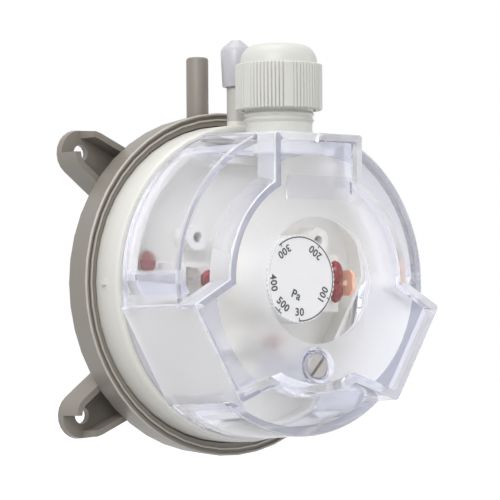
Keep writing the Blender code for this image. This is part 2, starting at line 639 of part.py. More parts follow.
def make_middle_housing(material):
    """Upper housing: skirt, partition, upstand, tower, bosses, posts and the low pressure port."""
    skirt_back = SEAT_DEPTH + 2.0 * GAP + BEAD_HEIGHT
    chamber = CHAMBER_RADIUS + 0.1 * MM
    stem_hole = STEM_RADIUS + GAP
    profile = [(stem_hole, PARTITION_BACK_DEPTH), (chamber, PARTITION_BACK_DEPTH), (chamber, skirt_back)]
    profile += [(SKIRT_RADIUS, skirt_back)] + shoulder_points()
    step = upstand_radius() - UPSTAND_WALL / 2.0
    profile += [(step, SHOULDER_DEPTH), (step, PARTITION_FRONT_DEPTH), (stem_hole, PARTITION_FRONT_DEPTH)]
    housing = add_lathe("middle_housing", profile, LARGE_SEGMENTS, material)
    root = PARTITION_FRONT_DEPTH - 0.9 * MM
    mechanism = (0.0, MECHANISM_Z)
    tower = tube(TOWER_RADIUS, TOWER_RADIUS - TOWER_WALL, root, TOWER_DEPTH)
    boss = disc(BOSS_RADIUS, root, BOSS_FRONT_DEPTH)
    screw_post = disc(SCREW_POST_RADIUS, root, PILLAR_END_DEPTH - GAP)
    added = [make_upstand(root), add_lathe("tower", tower, MEDIUM_SEGMENTS, None, centre=mechanism)]
    added += [add_lathe("boss", boss, SMALL_SEGMENTS, None, centre=(x, BOSS_Z)) for x in (-BOSS_X, BOSS_X)]
    added.append(add_lathe("screw_post", screw_post, SMALL_SEGMENTS, None, centre=(0.0, SCREW_Z)))
    added.append(box("left_post", LEFT_BLADE_X - 2.0 * MM, LEFT_POST_X + 2.6 * MM, root, POST_FRONT_DEPTH,
                     -LEFT_POST_HALF_LENGTH, LEFT_POST_HALF_LENGTH))
    added.append(box("lower_post", LOWER_BLADE_X - 4.4 * MM, LOWER_DAB_X + 2.6 * MM, root, POST_FRONT_DEPTH,
                     LOWER_BLADE_Z - LEFT_POST_HALF_WIDTH, LOWER_BLADE_Z + LEFT_POST_HALF_WIDTH))
    for side in (-1, 1):
        nub_x = sorted((side * (SKIRT_RADIUS - 1.0 * MM), side * (SKIRT_RADIUS + 0.6 * MM)))
        added.append(box("nub", nub_x[0], nub_x[1], SNAP_NUB_DEPTH, SNAP_NUB_DEPTH + SNAP_NUB_SIZE,
                         -SNAP_NUB_SIZE / 2.0, SNAP_NUB_SIZE / 2.0))
    added.append(add_lathe("port", port_profile(LOW_PORT_RADIUS, CHAMBER_RADIUS + 1.2 * MM, LOW_PORT_TOP),
                           SMALL_SEGMENTS, None, axis="up", centre=(0.0, LOW_PORT_DEPTH)))
    unite(housing, added)
    tower_out = TOWER_RADIUS + 1.0 * MM
    boss_hole = disc(BOSS_HOLE_RADIUS, BOSS_FRONT_DEPTH - BOSS_HOLE_LENGTH, BOSS_FRONT_DEPTH + 1.0 * MM)
    screw_hole = disc(SCREW_HOLE_RADIUS, SCREW_TIP_DEPTH - 1.0 * MM, PILLAR_END_DEPTH + 1.0 * MM)
    port_bore = disc(PORT_BORE_RADIUS, CHAMBER_RADIUS - 2.0 * MM, LOW_PORT_TOP + 1.0 * MM)
    removed = [add_lathe("boss_hole", boss_hole, SMALL_SEGMENTS, None, centre=(x, BOSS_Z))
               for x in (-BOSS_X, BOSS_X)]
    removed.append(add_lathe("screw_hole", screw_hole, SMALL_SEGMENTS, None, centre=(0.0, SCREW_Z)))
    removed.append(add_lathe("port_bore", port_bore, SMALL_SEGMENTS, None, axis="up",
                             centre=(0.0, LOW_PORT_DEPTH)))
    for side in (-1, 1):
        ends = sorted((side * (TOWER_RADIUS - 2.5 * TOWER_WALL), side * tower_out))
        removed.append(box("keyway", -KEYWAY_WIDTH / 2.0, KEYWAY_WIDTH / 2.0, KEYWAY_DEPTH,
                           TOWER_DEPTH + 1.0 * MM, MECHANISM_Z + ends[0], MECHANISM_Z + ends[1]))
    removed.append(box("lever_slot", TOWER_RADIUS - 2.5 * TOWER_WALL, tower_out, LEVER_SLOT_START,
                       LEVER_SLOT_END, -LEVER_SLOT_WIDTH / 2.0, LEVER_SLOT_WIDTH / 2.0))
    removed += [calibration_hole(LEFT_POST_X, 0.0, POST_FRONT_DEPTH),
                calibration_hole(SIDE_CALIBRATION_X, SIDE_CALIBRATION_Z, PARTITION_FRONT_DEPTH),
                blade_slot(LEFT_BLADE_X, 0.0, "x"), blade_slot(LOWER_BLADE_X, LOWER_BLADE_Z, "z")]
    return cut(housing, removed)


def calibration_hole(x, z, front):
    """Blind hole for the shank of a calibration screw."""
    shank = 1.2 * MM
    return add_lathe("calibration_hole", disc(CALIBRATION_RADIUS + GAP, front - shank, front + 1.0 * MM),
                     SMALL_SEGMENTS, None, centre=(x, z))


def blade_slot(x, z, normal):
    """Slot in a post for the foot of a blade; normal is the blade's thin direction."""
    half_thin = BLADE_THICKNESS / 2.0 + GAP
    half_wide = BLADE_WIDTH / 2.0 + GAP
    half_x, half_z = (half_thin, half_wide) if normal == "x" else (half_wide, half_thin)
    return box("blade_slot", x - half_x, x + half_x, POST_FRONT_DEPTH - 3.0 * MM, POST_FRONT_DEPTH + 1.0 * MM,
               z - half_z, z + half_z)


def make_gasket(material):
    back = SHOULDER_DEPTH + GAP
    inner = upstand_radius() + GAP
    return add_lathe("cover_gasket", tube(inner + GASKET_WIDTH, inner, back, back + GASKET_THICKNESS),
                     LARGE_SEGMENTS, material)


def cover_outline(radius, drum_radius, flat_distance, half_width):
    """Circle with three flats; each flat ends an arm whose straight sides reach the circle.

    A point on each arm side, where it crosses the drum, keeps all levels alike in count. On the
    drum's own levels it is where the arc ends.
    """
    arc_steps = 12
    arm_angle = math.asin(half_width / radius)
    shoulder = math.sqrt(drum_radius ** 2 - half_width ** 2)
    if radius < drum_radius:
        shoulder = min(shoulder, flat_distance - CORNER_MARGIN)
    points = []
    for flat in FLAT_ANGLES:
        out = Vector((math.cos(flat), math.sin(flat)))
        across = Vector((-math.sin(flat), math.cos(flat)))
        for distance, side in ((shoulder, -1), (flat_distance, -1), (flat_distance, 1), (shoulder, 1)):
            points.append(tuple(out * distance + across * half_width * side))
        points += arc_points((0.0, 0.0), radius, flat + arm_angle, flat + 2.0 * math.pi / 3.0 - arm_angle,
                             arc_steps)
    return points


def cover_stations(wall, flat_wall):
    """Outlines of the cover from its rim to its front, drawn in by the wall thicknesses."""
    share = (COVER_LEDGE_DEPTH - COVER_RIM_DEPTH) / (COVER_FRONT_DEPTH - COVER_RIM_DEPTH)
    ledge_flat = FLAT_RIM_DISTANCE + share * (FLAT_FRONT_DISTANCE - FLAT_RIM_DISTANCE)
    ledge_half = FLAT_RIM_HALF_WIDTH + share * (FLAT_FRONT_HALF_WIDTH - FLAT_RIM_HALF_WIDTH)
    drum_rim = DRUM_RIM_RADIUS - wall
    drum = DRUM_LEDGE_RADIUS - wall
    rim = cover_outline(drum_rim, drum_rim, FLAT_RIM_DISTANCE - flat_wall, FLAT_RIM_HALF_WIDTH - wall)
    ledge_out = cover_outline(drum, drum, ledge_flat - flat_wall, ledge_half - wall)
    ledge_in = cover_outline(PLATEAU_BACK_RADIUS - wall, drum, ledge_flat - flat_wall, ledge_half - wall)
    front = cover_outline(PLATEAU_FRONT_RADIUS - wall, drum, FLAT_FRONT_DISTANCE - flat_wall,
                          FLAT_FRONT_HALF_WIDTH - wall)
    return [(rim, COVER_RIM_DEPTH), (ledge_out, COVER_LEDGE_DEPTH - wall),
            (ledge_in, COVER_LEDGE_DEPTH - wall), (front, COVER_FRONT_DEPTH - wall)]


def cover_shell():
    """Outer and inner skins of the cover, joined round the rim."""
    bm = bmesh.new()
    skins = []
    for wall, flat_wall in ((0.0, 0.0), (COVER_WALL, FLAT_WALL)):
        rings = [[bm.verts.new(at_depth(x, z, depth)) for x, z in outline]
                 for outline, depth in cover_stations(wall, flat_wall)]
        for lower, upper in zip(rings, rings[1:]):
            for j in range(len(lower)):
                k = (j + 1) % len(lower)
                bm.faces.new([lower[j], lower[k], upper[k], upper[j]])
        bm.faces.new(rings[-1])
        skins.append(rings)
    outer, inner = skins[0][0], skins[1][0]
    for j in range(len(outer)):
        k = (j + 1) % len(outer)
        bm.faces.new([outer[j], outer[k], inner[k], inner[j]])
    return bm


def corner_rib(flat, side):
    """Web between an arm's side and the drum wall, parallel to a flat."""
    out = Vector((math.cos(flat), math.sin(flat)))
    across = Vector((-math.sin(flat), math.cos(flat))) * side
    outline = [tuple(out * distance + across * offset) for distance, offset in
               rectangle(RIB_DISTANCE - RIB_WALL / 2.0, RIB_DISTANCE + RIB_WALL / 2.0, RIB_INNER, RIB_OUTER)]
    front = COVER_LEDGE_DEPTH - COVER_WALL / 2.0
    return add_loft("corner_rib", [(outline, RIB_BACK_DEPTH), (outline, front)], None)


def make_cover(material):
    cover = add_object("cover", finish_mesh(cover_shell(), "cover"), material)
    buried = COVER_FRONT_DEPTH - COVER_WALL / 2.0
    neck = COVER_FRONT_DEPTH - PILLAR_HEAD_LENGTH
    pillar_profile = [(0.0, PILLAR_END_DEPTH), (PILLAR_RADIUS, PILLAR_END_DEPTH),
                      (PILLAR_RADIUS, neck - 1.5 * MM), (PILLAR_HEAD_RADIUS, neck),
                      (PILLAR_HEAD_RADIUS, buried), (0.0, buried)]
    pillar = add_lathe("pillar", pillar_profile, SMALL_SEGMENTS, None, centre=(0.0, SCREW_Z))
    ribs = [corner_rib(flat, side) for flat in FLAT_ANGLES for side in (-1, 1)]
    unite(cover, [pillar] + ribs)
    proud = COVER_FRONT_DEPTH + 1.0 * MM
    recess = box("recess", -LABEL_HALF_WIDTH, LABEL_HALF_WIDTH, COVER_FRONT_DEPTH - LABEL_RECESS, proud,
                 LABEL_LOW, LABEL_HIGH)
    well_floor = COVER_FRONT_DEPTH - WELL_DEPTH
    mouth = WELL_RADIUS + WELL_BEVEL
    well_profile = [(0.0, well_floor), (WELL_RADIUS, well_floor),
                    (WELL_RADIUS, COVER_FRONT_DEPTH - WELL_BEVEL), (mouth, COVER_FRONT_DEPTH),
                    (mouth, proud), (0.0, proud)]
    well = add_lathe("well", well_profile, SMALL_SEGMENTS, None, centre=(0.0, SCREW_Z))
    hole = add_lathe("hole", disc(SCREW_HOLE_RADIUS, PILLAR_END_DEPTH - 1.0 * MM, COVER_FRONT_DEPTH),
                     SMALL_SEGMENTS, None, centre=(0.0, SCREW_Z))
    gland_hole = add_lathe("gland_hole", disc(NECK_RADIUS + GAP, FLANGE_TOP, FLAT_RIM_DISTANCE + 2.0 * MM),
                           MEDIUM_SEGMENTS, None, axis="up", centre=(0.0, GLAND_DEPTH))
    return cut(cover, [recess, well, hole, gland_hole])


def make_cover_screw(material):
    """Slotted screw that stays captive in the pillar, and the seal under its head."""
    head_back = COVER_FRONT_DEPTH - WELL_DEPTH + O_RING_THICKNESS + 2.0 * GAP
    head_front = head_back + SCREW_HEAD_HEIGHT
    edge = 0.25 * MM
    profile = [(0.0, SCREW_TIP_DEPTH), (SCREW_RADIUS - 0.6 * MM, SCREW_TIP_DEPTH),
               (SCREW_RADIUS, SCREW_TIP_DEPTH + 1.0 * MM), (SCREW_RADIUS, head_back),
               (SCREW_HEAD_RADIUS, head_back), (SCREW_HEAD_RADIUS, head_front - edge),
               (SCREW_HEAD_RADIUS - edge, head_front), (0.0, head_front)]
    screw = add_lathe("cover_screw", profile, SMALL_SEGMENTS, material, centre=(0.0, SCREW_Z))
    reach = 2.0 * SCREW_HEAD_RADIUS
    slot = box("slot", -reach, reach, head_front - SCREW_SLOT_DEPTH, head_front + 1.0 * MM,
               -SCREW_SLOT_WIDTH / 2.0, SCREW_SLOT_WIDTH / 2.0)
    slot.data.transform(Matrix.Rotation(-SCREW_SLOT_ANGLE, 4, "Y"))
    slot.data.transform(Matrix.Translation((0.0, 0.0, SCREW_Z)))
    cut(screw, [slot])
    move_origin(screw, 0.0, head_front, SCREW_Z)
    return screw


def make_screw_seal(material):
    back = COVER_FRONT_DEPTH - WELL_DEPTH + GAP
    return add_lathe("screw_seal", tube(WELL_RADIUS - GAP, SCREW_RADIUS + GAP, back, back + O_RING_THICKNESS),
                     SMALL_SEGMENTS, material, centre=(0.0, SCREW_Z))


def gland_body_profile():
    """Outside with its flange, plain neck and thread, then the bore."""
    profile = [(GLAND_BORE_RADIUS, FLANGE_BOTTOM), (FLANGE_RADIUS, FLANGE_BOTTOM),
               (FLANGE_RADIUS, FLANGE_TOP), (NECK_RADIUS, FLANGE_TOP), (NECK_RADIUS, THREAD_START)]
    for turn in range(THREAD_TURNS):
        low = THREAD_START + turn * THREAD_PITCH
        profile += [(THREAD_RADIUS, low + 0.50 * THREAD_PITCH), (NECK_RADIUS, low + THREAD_PITCH)]
    profile += [(NECK_RADIUS, FINGER_START), (FINGER_RADIUS, FINGER_START),
                (FINGER_RADIUS, FINGER_TOP - 0.4 * MM), (FINGER_RADIUS - 0.4 * MM, FINGER_TOP),
                (FINGER_RADIUS - FINGER_WALL, FINGER_TOP),
                (FINGER_RADIUS - FINGER_WALL, SEAL_SEAT), (GLAND_BORE_RADIUS, SEAL_SEAT)]
    return profile


def make_gland_body(material):
    """Threaded neck with a flange inside the cover and clamping fingers at its top."""
    body = add_lathe("gland_body", gland_body_profile(), MEDIUM_SEGMENTS, material, axis="up",
                     centre=(0.0, GLAND_DEPTH))
    reach = FINGER_RADIUS + 1.0 * MM
    slots = []
    for i in range(3):
        slot = box("finger_slot", -reach, reach, -FINGER_SLOT / 2.0, FINGER_SLOT / 2.0,
                   FINGER_START + 0.6 * MM, FINGER_TOP + 1.0 * MM)
        slot.data.transform(Matrix.Rotation(math.radians(60.0 * i + 15.0), 4, "Z"))
        slot.data.transform(Matrix.Translation((0.0, -GLAND_DEPTH, 0.0)))
        slots.append(slot)
    return cut(body, slots)


def make_gland_seal(material):
    """Rubber sleeve that the fingers press on the cable."""
    outer = FINGER_RADIUS - FINGER_WALL - GAP
    bottom = SEAL_SEAT + GAP
    profile = [(SEAL_BORE_RADIUS, bottom), (outer, bottom), (outer, SEAL_TOP - 0.5 * MM),
               (outer - 0.5 * MM, SEAL_TOP), (SEAL_BORE_RADIUS + 0.4 * MM, SEAL_TOP),
               (SEAL_BORE_RADIUS, SEAL_TOP - 0.4 * MM)]
    return add_lathe("gland_seal", profile, MEDIUM_SEGMENTS, material, axis="up", centre=(0.0, GLAND_DEPTH))


def nut_outline(radius, groove):
    """Plan of the nut: fields of fine grooves with a smooth stretch after each."""
    points = []
    field_step = 2.0 * math.pi / NUT_FIELDS
    pitch = NUT_FIELD_ANGLE / NUT_GROOVES_PER_FIELD
    for field in range(NUT_FIELDS):
        start = NUT_FIRST_FIELD - NUT_FIELD_ANGLE / 2.0 + field * field_step
        for i in range(NUT_GROOVES_PER_FIELD):
            points.append((radius, start + i * pitch))
            points.append((radius - groove, start + (i + 0.5) * pitch))
        points.append((radius, start + NUT_FIELD_ANGLE))
    return [(r * math.cos(angle), GLAND_DEPTH - r * math.sin(angle)) for r, angle in points]


def make_gland_nut(material):
    """Domed nut, built as a ribbed barrel with a turned dome on it and a turned cavity inside."""
    outline = nut_outline(NUT_RADIUS, NUT_GROOVE)
    levels = [(outline, NUT_BOTTOM), (outline, NUT_SHOULDER)]
    barrel = add_loft("gland_nut", levels, material, place=at_height)
    dome = [(0.0, NUT_SHOULDER - 1.0 * MM), (NUT_DOME_RADIUS, NUT_SHOULDER - 1.0 * MM)]
    steps = 4
    for i in range(steps + 1):
        angle = math.pi / 2.0 * i / steps
        radius = NUT_TOP_RADIUS + (NUT_DOME_RADIUS - NUT_TOP_RADIUS) * math.cos(angle)
        dome.append((radius, NUT_SHOULDER + (NUT_TOP - NUT_SHOULDER) * math.sin(angle)))
    dome.append((0.0, NUT_TOP))
    centre = (0.0, GLAND_DEPTH)
    unite(barrel, [add_lathe("dome", dome, MEDIUM_SEGMENTS, None, axis="up", centre=centre)])
    thread_bore = THREAD_RADIUS + GAP
    below = NUT_BOTTOM - 1.0 * MM
    above = NUT_TOP + 1.0 * MM
    cavity = [(0.0, below), (thread_bore, below), (thread_bore, FINGER_START + 1.0 * MM),
              (NUT_CAVITY_RADIUS, FINGER_START + 2.1 * MM), (NUT_CAVITY_RADIUS, FINGER_TOP + 0.6 * MM),
              (NUT_HOLE_RADIUS, NUT_TOP - 1.4 * MM), (NUT_HOLE_RADIUS, above), (0.0, above)]
    cut(barrel, [add_lathe("cavity", cavity, MEDIUM_SEGMENTS, None, axis="up", centre=centre)])
    move_origin(barrel, 0.0, GLAND_DEPTH, NUT_BOTTOM)
    return barrel


def make_port_cap(material):
    """Soft cap pushed over the low pressure port, with a small pull nipple."""
    bore = LOW_PORT_RADIUS + GAP
    shoulder = CAP_TOP - 2.4 * MM
    profile = [(bore, CAP_BOTTOM), (CAP_BOTTOM_RADIUS - 0.2 * MM, CAP_BOTTOM),
               (CAP_BOTTOM_RADIUS, CAP_BOTTOM + 0.3 * MM), (CAP_TOP_RADIUS, shoulder - 0.5 * MM),
               (CAP_TOP_RADIUS - 0.5 * MM, shoulder + 0.5 * MM),
               (CAP_NIPPLE_RADIUS + 0.5 * MM, CAP_TOP - 0.6 * MM), (CAP_NIPPLE_RADIUS, CAP_TOP - 0.1 * MM),
               (0.0, CAP_TOP), (0.0, LOW_PORT_TOP + GAP), (bore, LOW_PORT_TOP + GAP)]
    cap = add_lathe("port_cap", profile, SMALL_SEGMENTS, material, axis="up", centre=(0.0, LOW_PORT_DEPTH))
    move_origin(cap, 0.0, LOW_PORT_DEPTH, CAP_BOTTOM)
    return cap


def knob_outline(radius, tooth):
    """Round outline with fine teeth, about the mechanism's axis."""
    points = []
    for i in range(KNOB_TEETH):
        for share, r in ((0.0, radius), (0.5, radius - tooth)):
            angle = 2.0 * math.pi * (i + share) / KNOB_TEETH
            points.append((r * math.cos(angle), MECHANISM_Z + r * math.sin(angle)))
    return points


def make_setting_knob(material):
    """Setting knob: toothed cap over the tower, with the stem that drives the adjuster."""
    disc_back = KNOB_FRONT_DEPTH - KNOB_DISC
    outline = knob_outline(KNOB_RADIUS, KNOB_TOOTH)
    knob = add_loft("setting_knob", [(outline, KNOB_SKIRT_DEPTH), (outline, KNOB_FRONT_DEPTH)], material)
    inner = TOWER_RADIUS + GAP
    mechanism = (0.0, MECHANISM_Z)
    cut(knob, [add_lathe("cavity", disc(inner, KNOB_SKIRT_DEPTH - 1.0 * MM, disc_back), MEDIUM_SEGMENTS, None,
                         centre=mechanism)])
    unite(knob, [add_lathe("stem", disc(KNOB_STEM_RADIUS, KNOB_STEM_END_DEPTH, disc_back + 0.5 * MM),
                           SMALL_SEGMENTS, None, centre=mechanism)])
    move_origin(knob, 0.0, KNOB_FRONT_DEPTH, MECHANISM_Z)
    return knob


def make_adjuster(material):
    """Spring adjuster: a ring on the knob's stem, kept from turning by two keys in the tower."""
    back = ADJUSTER_DEPTH
    front = back + ADJUSTER_THICKNESS
    bore = KNOB_STEM_RADIUS + GAP
    outer = TOWER_RADIUS - TOWER_WALL - GAP
    adjuster = add_lathe("adjuster_nut", tube(outer, bore, back, front), MEDIUM_SEGMENTS, material,
                         centre=(0.0, MECHANISM_Z))
    keys = []
    for side in (-1, 1):
        ends = sorted((side * (outer - 1.0 * MM), side * (TOWER_RADIUS - GAP)))
        keys.append(box("key", -KEY_WIDTH / 2.0, KEY_WIDTH / 2.0, back, front, MECHANISM_Z + ends[0],
                        MECHANISM_Z + ends[1]))
    unite(adjuster, keys)
    move_origin(adjuster, 0.0, back, MECHANISM_Z)
    return adjuster


def seat_front_depth():
    return STEM_TOP_DEPTH + GAP + SEAT_DISC_THICKNESS


def make_spring_seat(material):
    """Disc on the stem's end, which carries the range spring and pushes the moving contact."""
    back = STEM_TOP_DEPTH + GAP
    front = seat_front_depth()
    profile = [(0.0, back), (SEAT_DISC_RADIUS, back), (SEAT_DISC_RADIUS, front), (SEAT_HUB_RADIUS, front),
               (SEAT_HUB_RADIUS, front + SEAT_HUB_HEIGHT), (0.0, front + SEAT_HUB_HEIGHT)]
    return add_lathe("spring_seat", profile, MEDIUM_SEGMENTS, material, centre=(0.0, MECHANISM_Z))


def make_range_spring(material):
    """Helical spring between the seat and the adjuster."""
    start = seat_front_depth() + GAP + SPRING_WIRE_RADIUS
    end = ADJUSTER_DEPTH - GAP - SPRING_WIRE_RADIUS
    per_turn = 12
    count = int(per_turn * SPRING_TURNS)
    sides = 4
    bm = bmesh.new()
    rings = []
    for i in range(count + 1):
        angle = 2.0 * math.pi * i / per_turn
        share = i / count
        out = Vector((math.cos(angle), 0.0, math.sin(angle)))
        middle = out * SPRING_RADIUS + Vector((0.0, -(start + (end - start) * share), MECHANISM_Z))
        ring = []
        for k in range(sides):
            around = 2.0 * math.pi * k / sides
            offset = out * math.cos(around) + Vector((0.0, 1.0, 0.0)) * math.sin(around)
            ring.append(bm.verts.new(middle + offset * SPRING_WIRE_RADIUS))
        rings.append(ring)
    for lower, upper in zip(rings, rings[1:]):
        for k in range(sides):
            n = (k + 1) % sides
            bm.faces.new([lower[k], lower[n], upper[n], upper[k]])
    bm.faces.new(rings[0])
    bm.faces.new(rings[-1])
    return add_object("range_spring", finish_mesh(bm, "range_spring"), material)


def contact_depth():
    """Back face of the moving contact strip, just in front of the spring seat."""
    return seat_front_depth() + GAP


def make_switch_carrier(material):
    """Insulating block that holds the contact strips and the right blade."""
    strip_back = contact_depth()
    outline = rectangle(CARRIER_LEFT, CARRIER_RIGHT, -CARRIER_HALF_WIDTH, CARRIER_HALF_WIDTH)
    carrier = add_loft("switch_carrier", [(outline, CARRIER_BACK), (outline, CARRIER_FOOT_FRONT)], material)
    pedestal = box("pedestal", CARRIER_MIDDLE, CARRIER_RIGHT, CARRIER_FOOT_FRONT - 0.5 * MM, strip_back - GAP,
                   -CARRIER_HALF_WIDTH, CARRIER_HALF_WIDTH)
    arm_z = CARRIER_HALF_WIDTH - 3.0 * MM
    arm_start = CARRIER_FOOT_FRONT - 0.5 * MM
    arm_end_x = CARRIER_MIDDLE + 1.0 * MM
    arms = [box("arm", CARRIER_LEFT, arm_end_x, arm_start, closed_strip_depth() - GAP, arm_z,
                CARRIER_HALF_WIDTH),
            box("arm", CARRIER_LEFT, arm_end_x, arm_start, open_strip_depth() - GAP, -CARRIER_HALF_WIDTH,
                -arm_z)]
    leg_z = CARRIER_HALF_WIDTH - BRIDGE_LEG
    bridge = [box("leg", BRIDGE_LEFT, BRIDGE_RIGHT, strip_back - 1.0 * MM, BRIDGE_FRONT, low, high)
              for low, high in ((leg_z, CARRIER_HALF_WIDTH), (-CARRIER_HALF_WIDTH, -leg_z))]
    bridge.append(box("crossbar", BRIDGE_LEFT, BRIDGE_RIGHT, BRIDGE_BACK, BRIDGE_FRONT, -leg_z - 1.0 * MM,
                      leg_z + 1.0 * MM))
    unite(carrier, [pedestal] + arms + bridge)
    proud = BRIDGE_FRONT + 1.0 * MM
    boss_room = add_lathe("boss_room", disc(BOSS_RADIUS + 0.5 * MM, CARRIER_BACK - 1.0 * MM, proud),
                          SMALL_SEGMENTS, None, centre=(BOSS_X, BOSS_Z))
    screw_hole = add_lathe("screw_hole", disc(CALIBRATION_RADIUS + GAP, BRIDGE_BACK - 1.0 * MM, proud),
                           SMALL_SEGMENTS, None, centre=(RIGHT_CALIBRATION_X, 0.0))
    return cut(carrier, [boss_room, screw_hole])


def make_contact_spring(material):
    """Copper strip from the pedestal to the spring seat, with its contact rivet and standing blade."""
    back = contact_depth()
    front = back + MOVING_STRIP_THICKNESS
    right_edge = RIGHT_BLADE_X - BLADE_THICKNESS / 2.0 - GAP
    strip = box("contact_spring", MOVING_STRIP_START, right_edge, back, front, -MOVING_STRIP_HALF_WIDTH,
                MOVING_STRIP_HALF_WIDTH, material)
    rivet = add_lathe("rivet", disc(CONTACT_RADIUS, back - CONTACT_HEIGHT, front + CONTACT_HEIGHT),
                      SMALL_SEGMENTS, None, centre=(CONTACT_X, 0.0))
    unite(strip, [rivet])
    move_origin(strip, RIGHT_CALIBRATION_X, back, 0.0)
    return strip


def fixed_contact(name, strip_back, side, faces_front, material):
    """Brass strip from a carrier arm to the rivet; side is the sign of z of its arm."""
    strip_front = strip_back + FIXED_STRIP_THICKNESS
    ends = sorted((side * (CARRIER_HALF_WIDTH - 0.4 * MM), -side * FIXED_STRIP_HALF_WIDTH))
    strip = box(name, CONTACT_X - FIXED_STRIP_HALF_WIDTH, CONTACT_X + FIXED_STRIP_HALF_WIDTH, strip_back,
                strip_front, ends[0], ends[1], material)
    if faces_front:
        button = disc(CONTACT_RADIUS, strip_front - 0.1 * MM, strip_front + CONTACT_BUTTON)
    else:
        button = disc(CONTACT_RADIUS, strip_back - CONTACT_BUTTON, strip_back + 0.1 * MM)
    return unite(strip, [add_lathe("button", button, SMALL_SEGMENTS, None, centre=(CONTACT_X, 0.0))])


def closed_strip_depth():
    """Back face of the fixed contact that the moving contact rests on."""
    return contact_depth() - CONTACT_HEIGHT - GAP - CONTACT_BUTTON - FIXED_STRIP_THICKNESS


def open_strip_depth():
    """Back face of the fixed contact that the moving contact travels to."""
    return contact_depth() + MOVING_STRIP_THICKNESS + CONTACT_HEIGHT + CONTACT_OPEN_GAP + CONTACT_BUTTON


def make_fixed_contacts(material):
    fixed_contact("fixed_contact_back", closed_strip_depth(), 1, True, material)
    fixed_contact("fixed_contact_front", open_strip_depth(), -1, False, material)


def make_blade(name, x, z, foot_depth, top_depth, normal, material):
    """Flat blade terminal with a hole near its end and bevelled corners."""
    corner = 1.1 * MM
    half = BLADE_WIDTH / 2.0
    outline = [(-half, foot_depth), (half, foot_depth), (half, top_depth - corner),
               (half - corner, top_depth), (-half + corner, top_depth), (-half, top_depth - corner)]
    bm = bmesh.new()
    faces = []
    for thin in (-BLADE_THICKNESS / 2.0, BLADE_THICKNESS / 2.0):
        ring = []
        for across, depth in outline:
            offset = (thin, -depth, across) if normal == "x" else (across, -depth, thin)
            ring.append(bm.verts.new((x + offset[0], offset[1], z + offset[2])))
        bm.faces.new(ring)
        faces.append(ring)
    for j in range(len(outline)):
        k = (j + 1) % len(outline)
        bm.faces.new([faces[0][j], faces[0][k], faces[1][k], faces[1][j]])
    blade = add_object(name, finish_mesh(bm, name), material)
    hole = add_lathe("hole", disc(BLADE_HOLE_RADIUS, -BLADE_THICKNESS, BLADE_THICKNESS), 16, None)
    if normal == "x":
        hole.data.transform(Matrix.Rotation(math.pi / 2.0, 4, "Z"))
    else:
        hole.data.transform(Matrix.Rotation(math.pi / 2.0, 4, "X"))
    hole.data.transform(Matrix.Translation((x, -(top_depth - 2.6 * MM), z)))
    return cut(blade, [hole])


def make_blades(copper, brass):
    foot = POST_FRONT_DEPTH - 3.0 * MM + GAP
    right_foot = contact_depth() + GAP
    make_blade("terminal_common", RIGHT_BLADE_X, 0.0, right_foot - GAP, RIGHT_BLADE_TOP_DEPTH, "x", copper)
    make_blade("terminal_left", LEFT_BLADE_X, 0.0, foot, SMALL_BLADE_TOP_DEPTH, "x", brass)
    make_blade("terminal_lower", LOWER_BLADE_X, LOWER_BLADE_Z, foot, SMALL_BLADE_TOP_DEPTH, "z", brass)


def calibration_screw(name, x, z, seat, shank, material):
    """Small cheese head screw; the head's back stands a gap above the seat."""
    head_back = seat + GAP
    head_front = head_back + CALIBRATION_HEAD
    shank_end = seat - shank + GAP
    profile = [(0.0, shank_end), (CALIBRATION_RADIUS, shank_end), (CALIBRATION_RADIUS, head_back),
               (CALIBRATION_HEAD_RADIUS, head_back), (CALIBRATION_HEAD_RADIUS, head_front), (0.0, head_front)]
    return add_lathe(name, profile, SMALL_SEGMENTS, material, centre=(x, z))


def lacquer_drop(name, lobes, back, height, material):
    """Dab of sealing lacquer: low domes that run together; lobes are (x, z, radius_x, radius_z)."""

    def dome(x, z, radius_x, radius_z):
        levels = []
        steps = 3
        for i in range(steps + 1):
            share = i / steps
            spread = math.sqrt(max(0.0, 1.0 - (share * 0.92) ** 2))
            outline = [(x + radius_x * spread * a, z + radius_z * spread * b)
                       for a, b in arc_points((0.0, 0.0), 1.0, 0.0, 2.0 * math.pi * 11 / 12, 11)]
            levels.append((outline, back + height * share))
        return levels

    drop = add_loft(name, dome(*lobes[0]), material)
    if len(lobes) > 1:
        unite(drop, [add_loft("lobe", dome(*lobe), None) for lobe in lobes[1:]])
    return drop


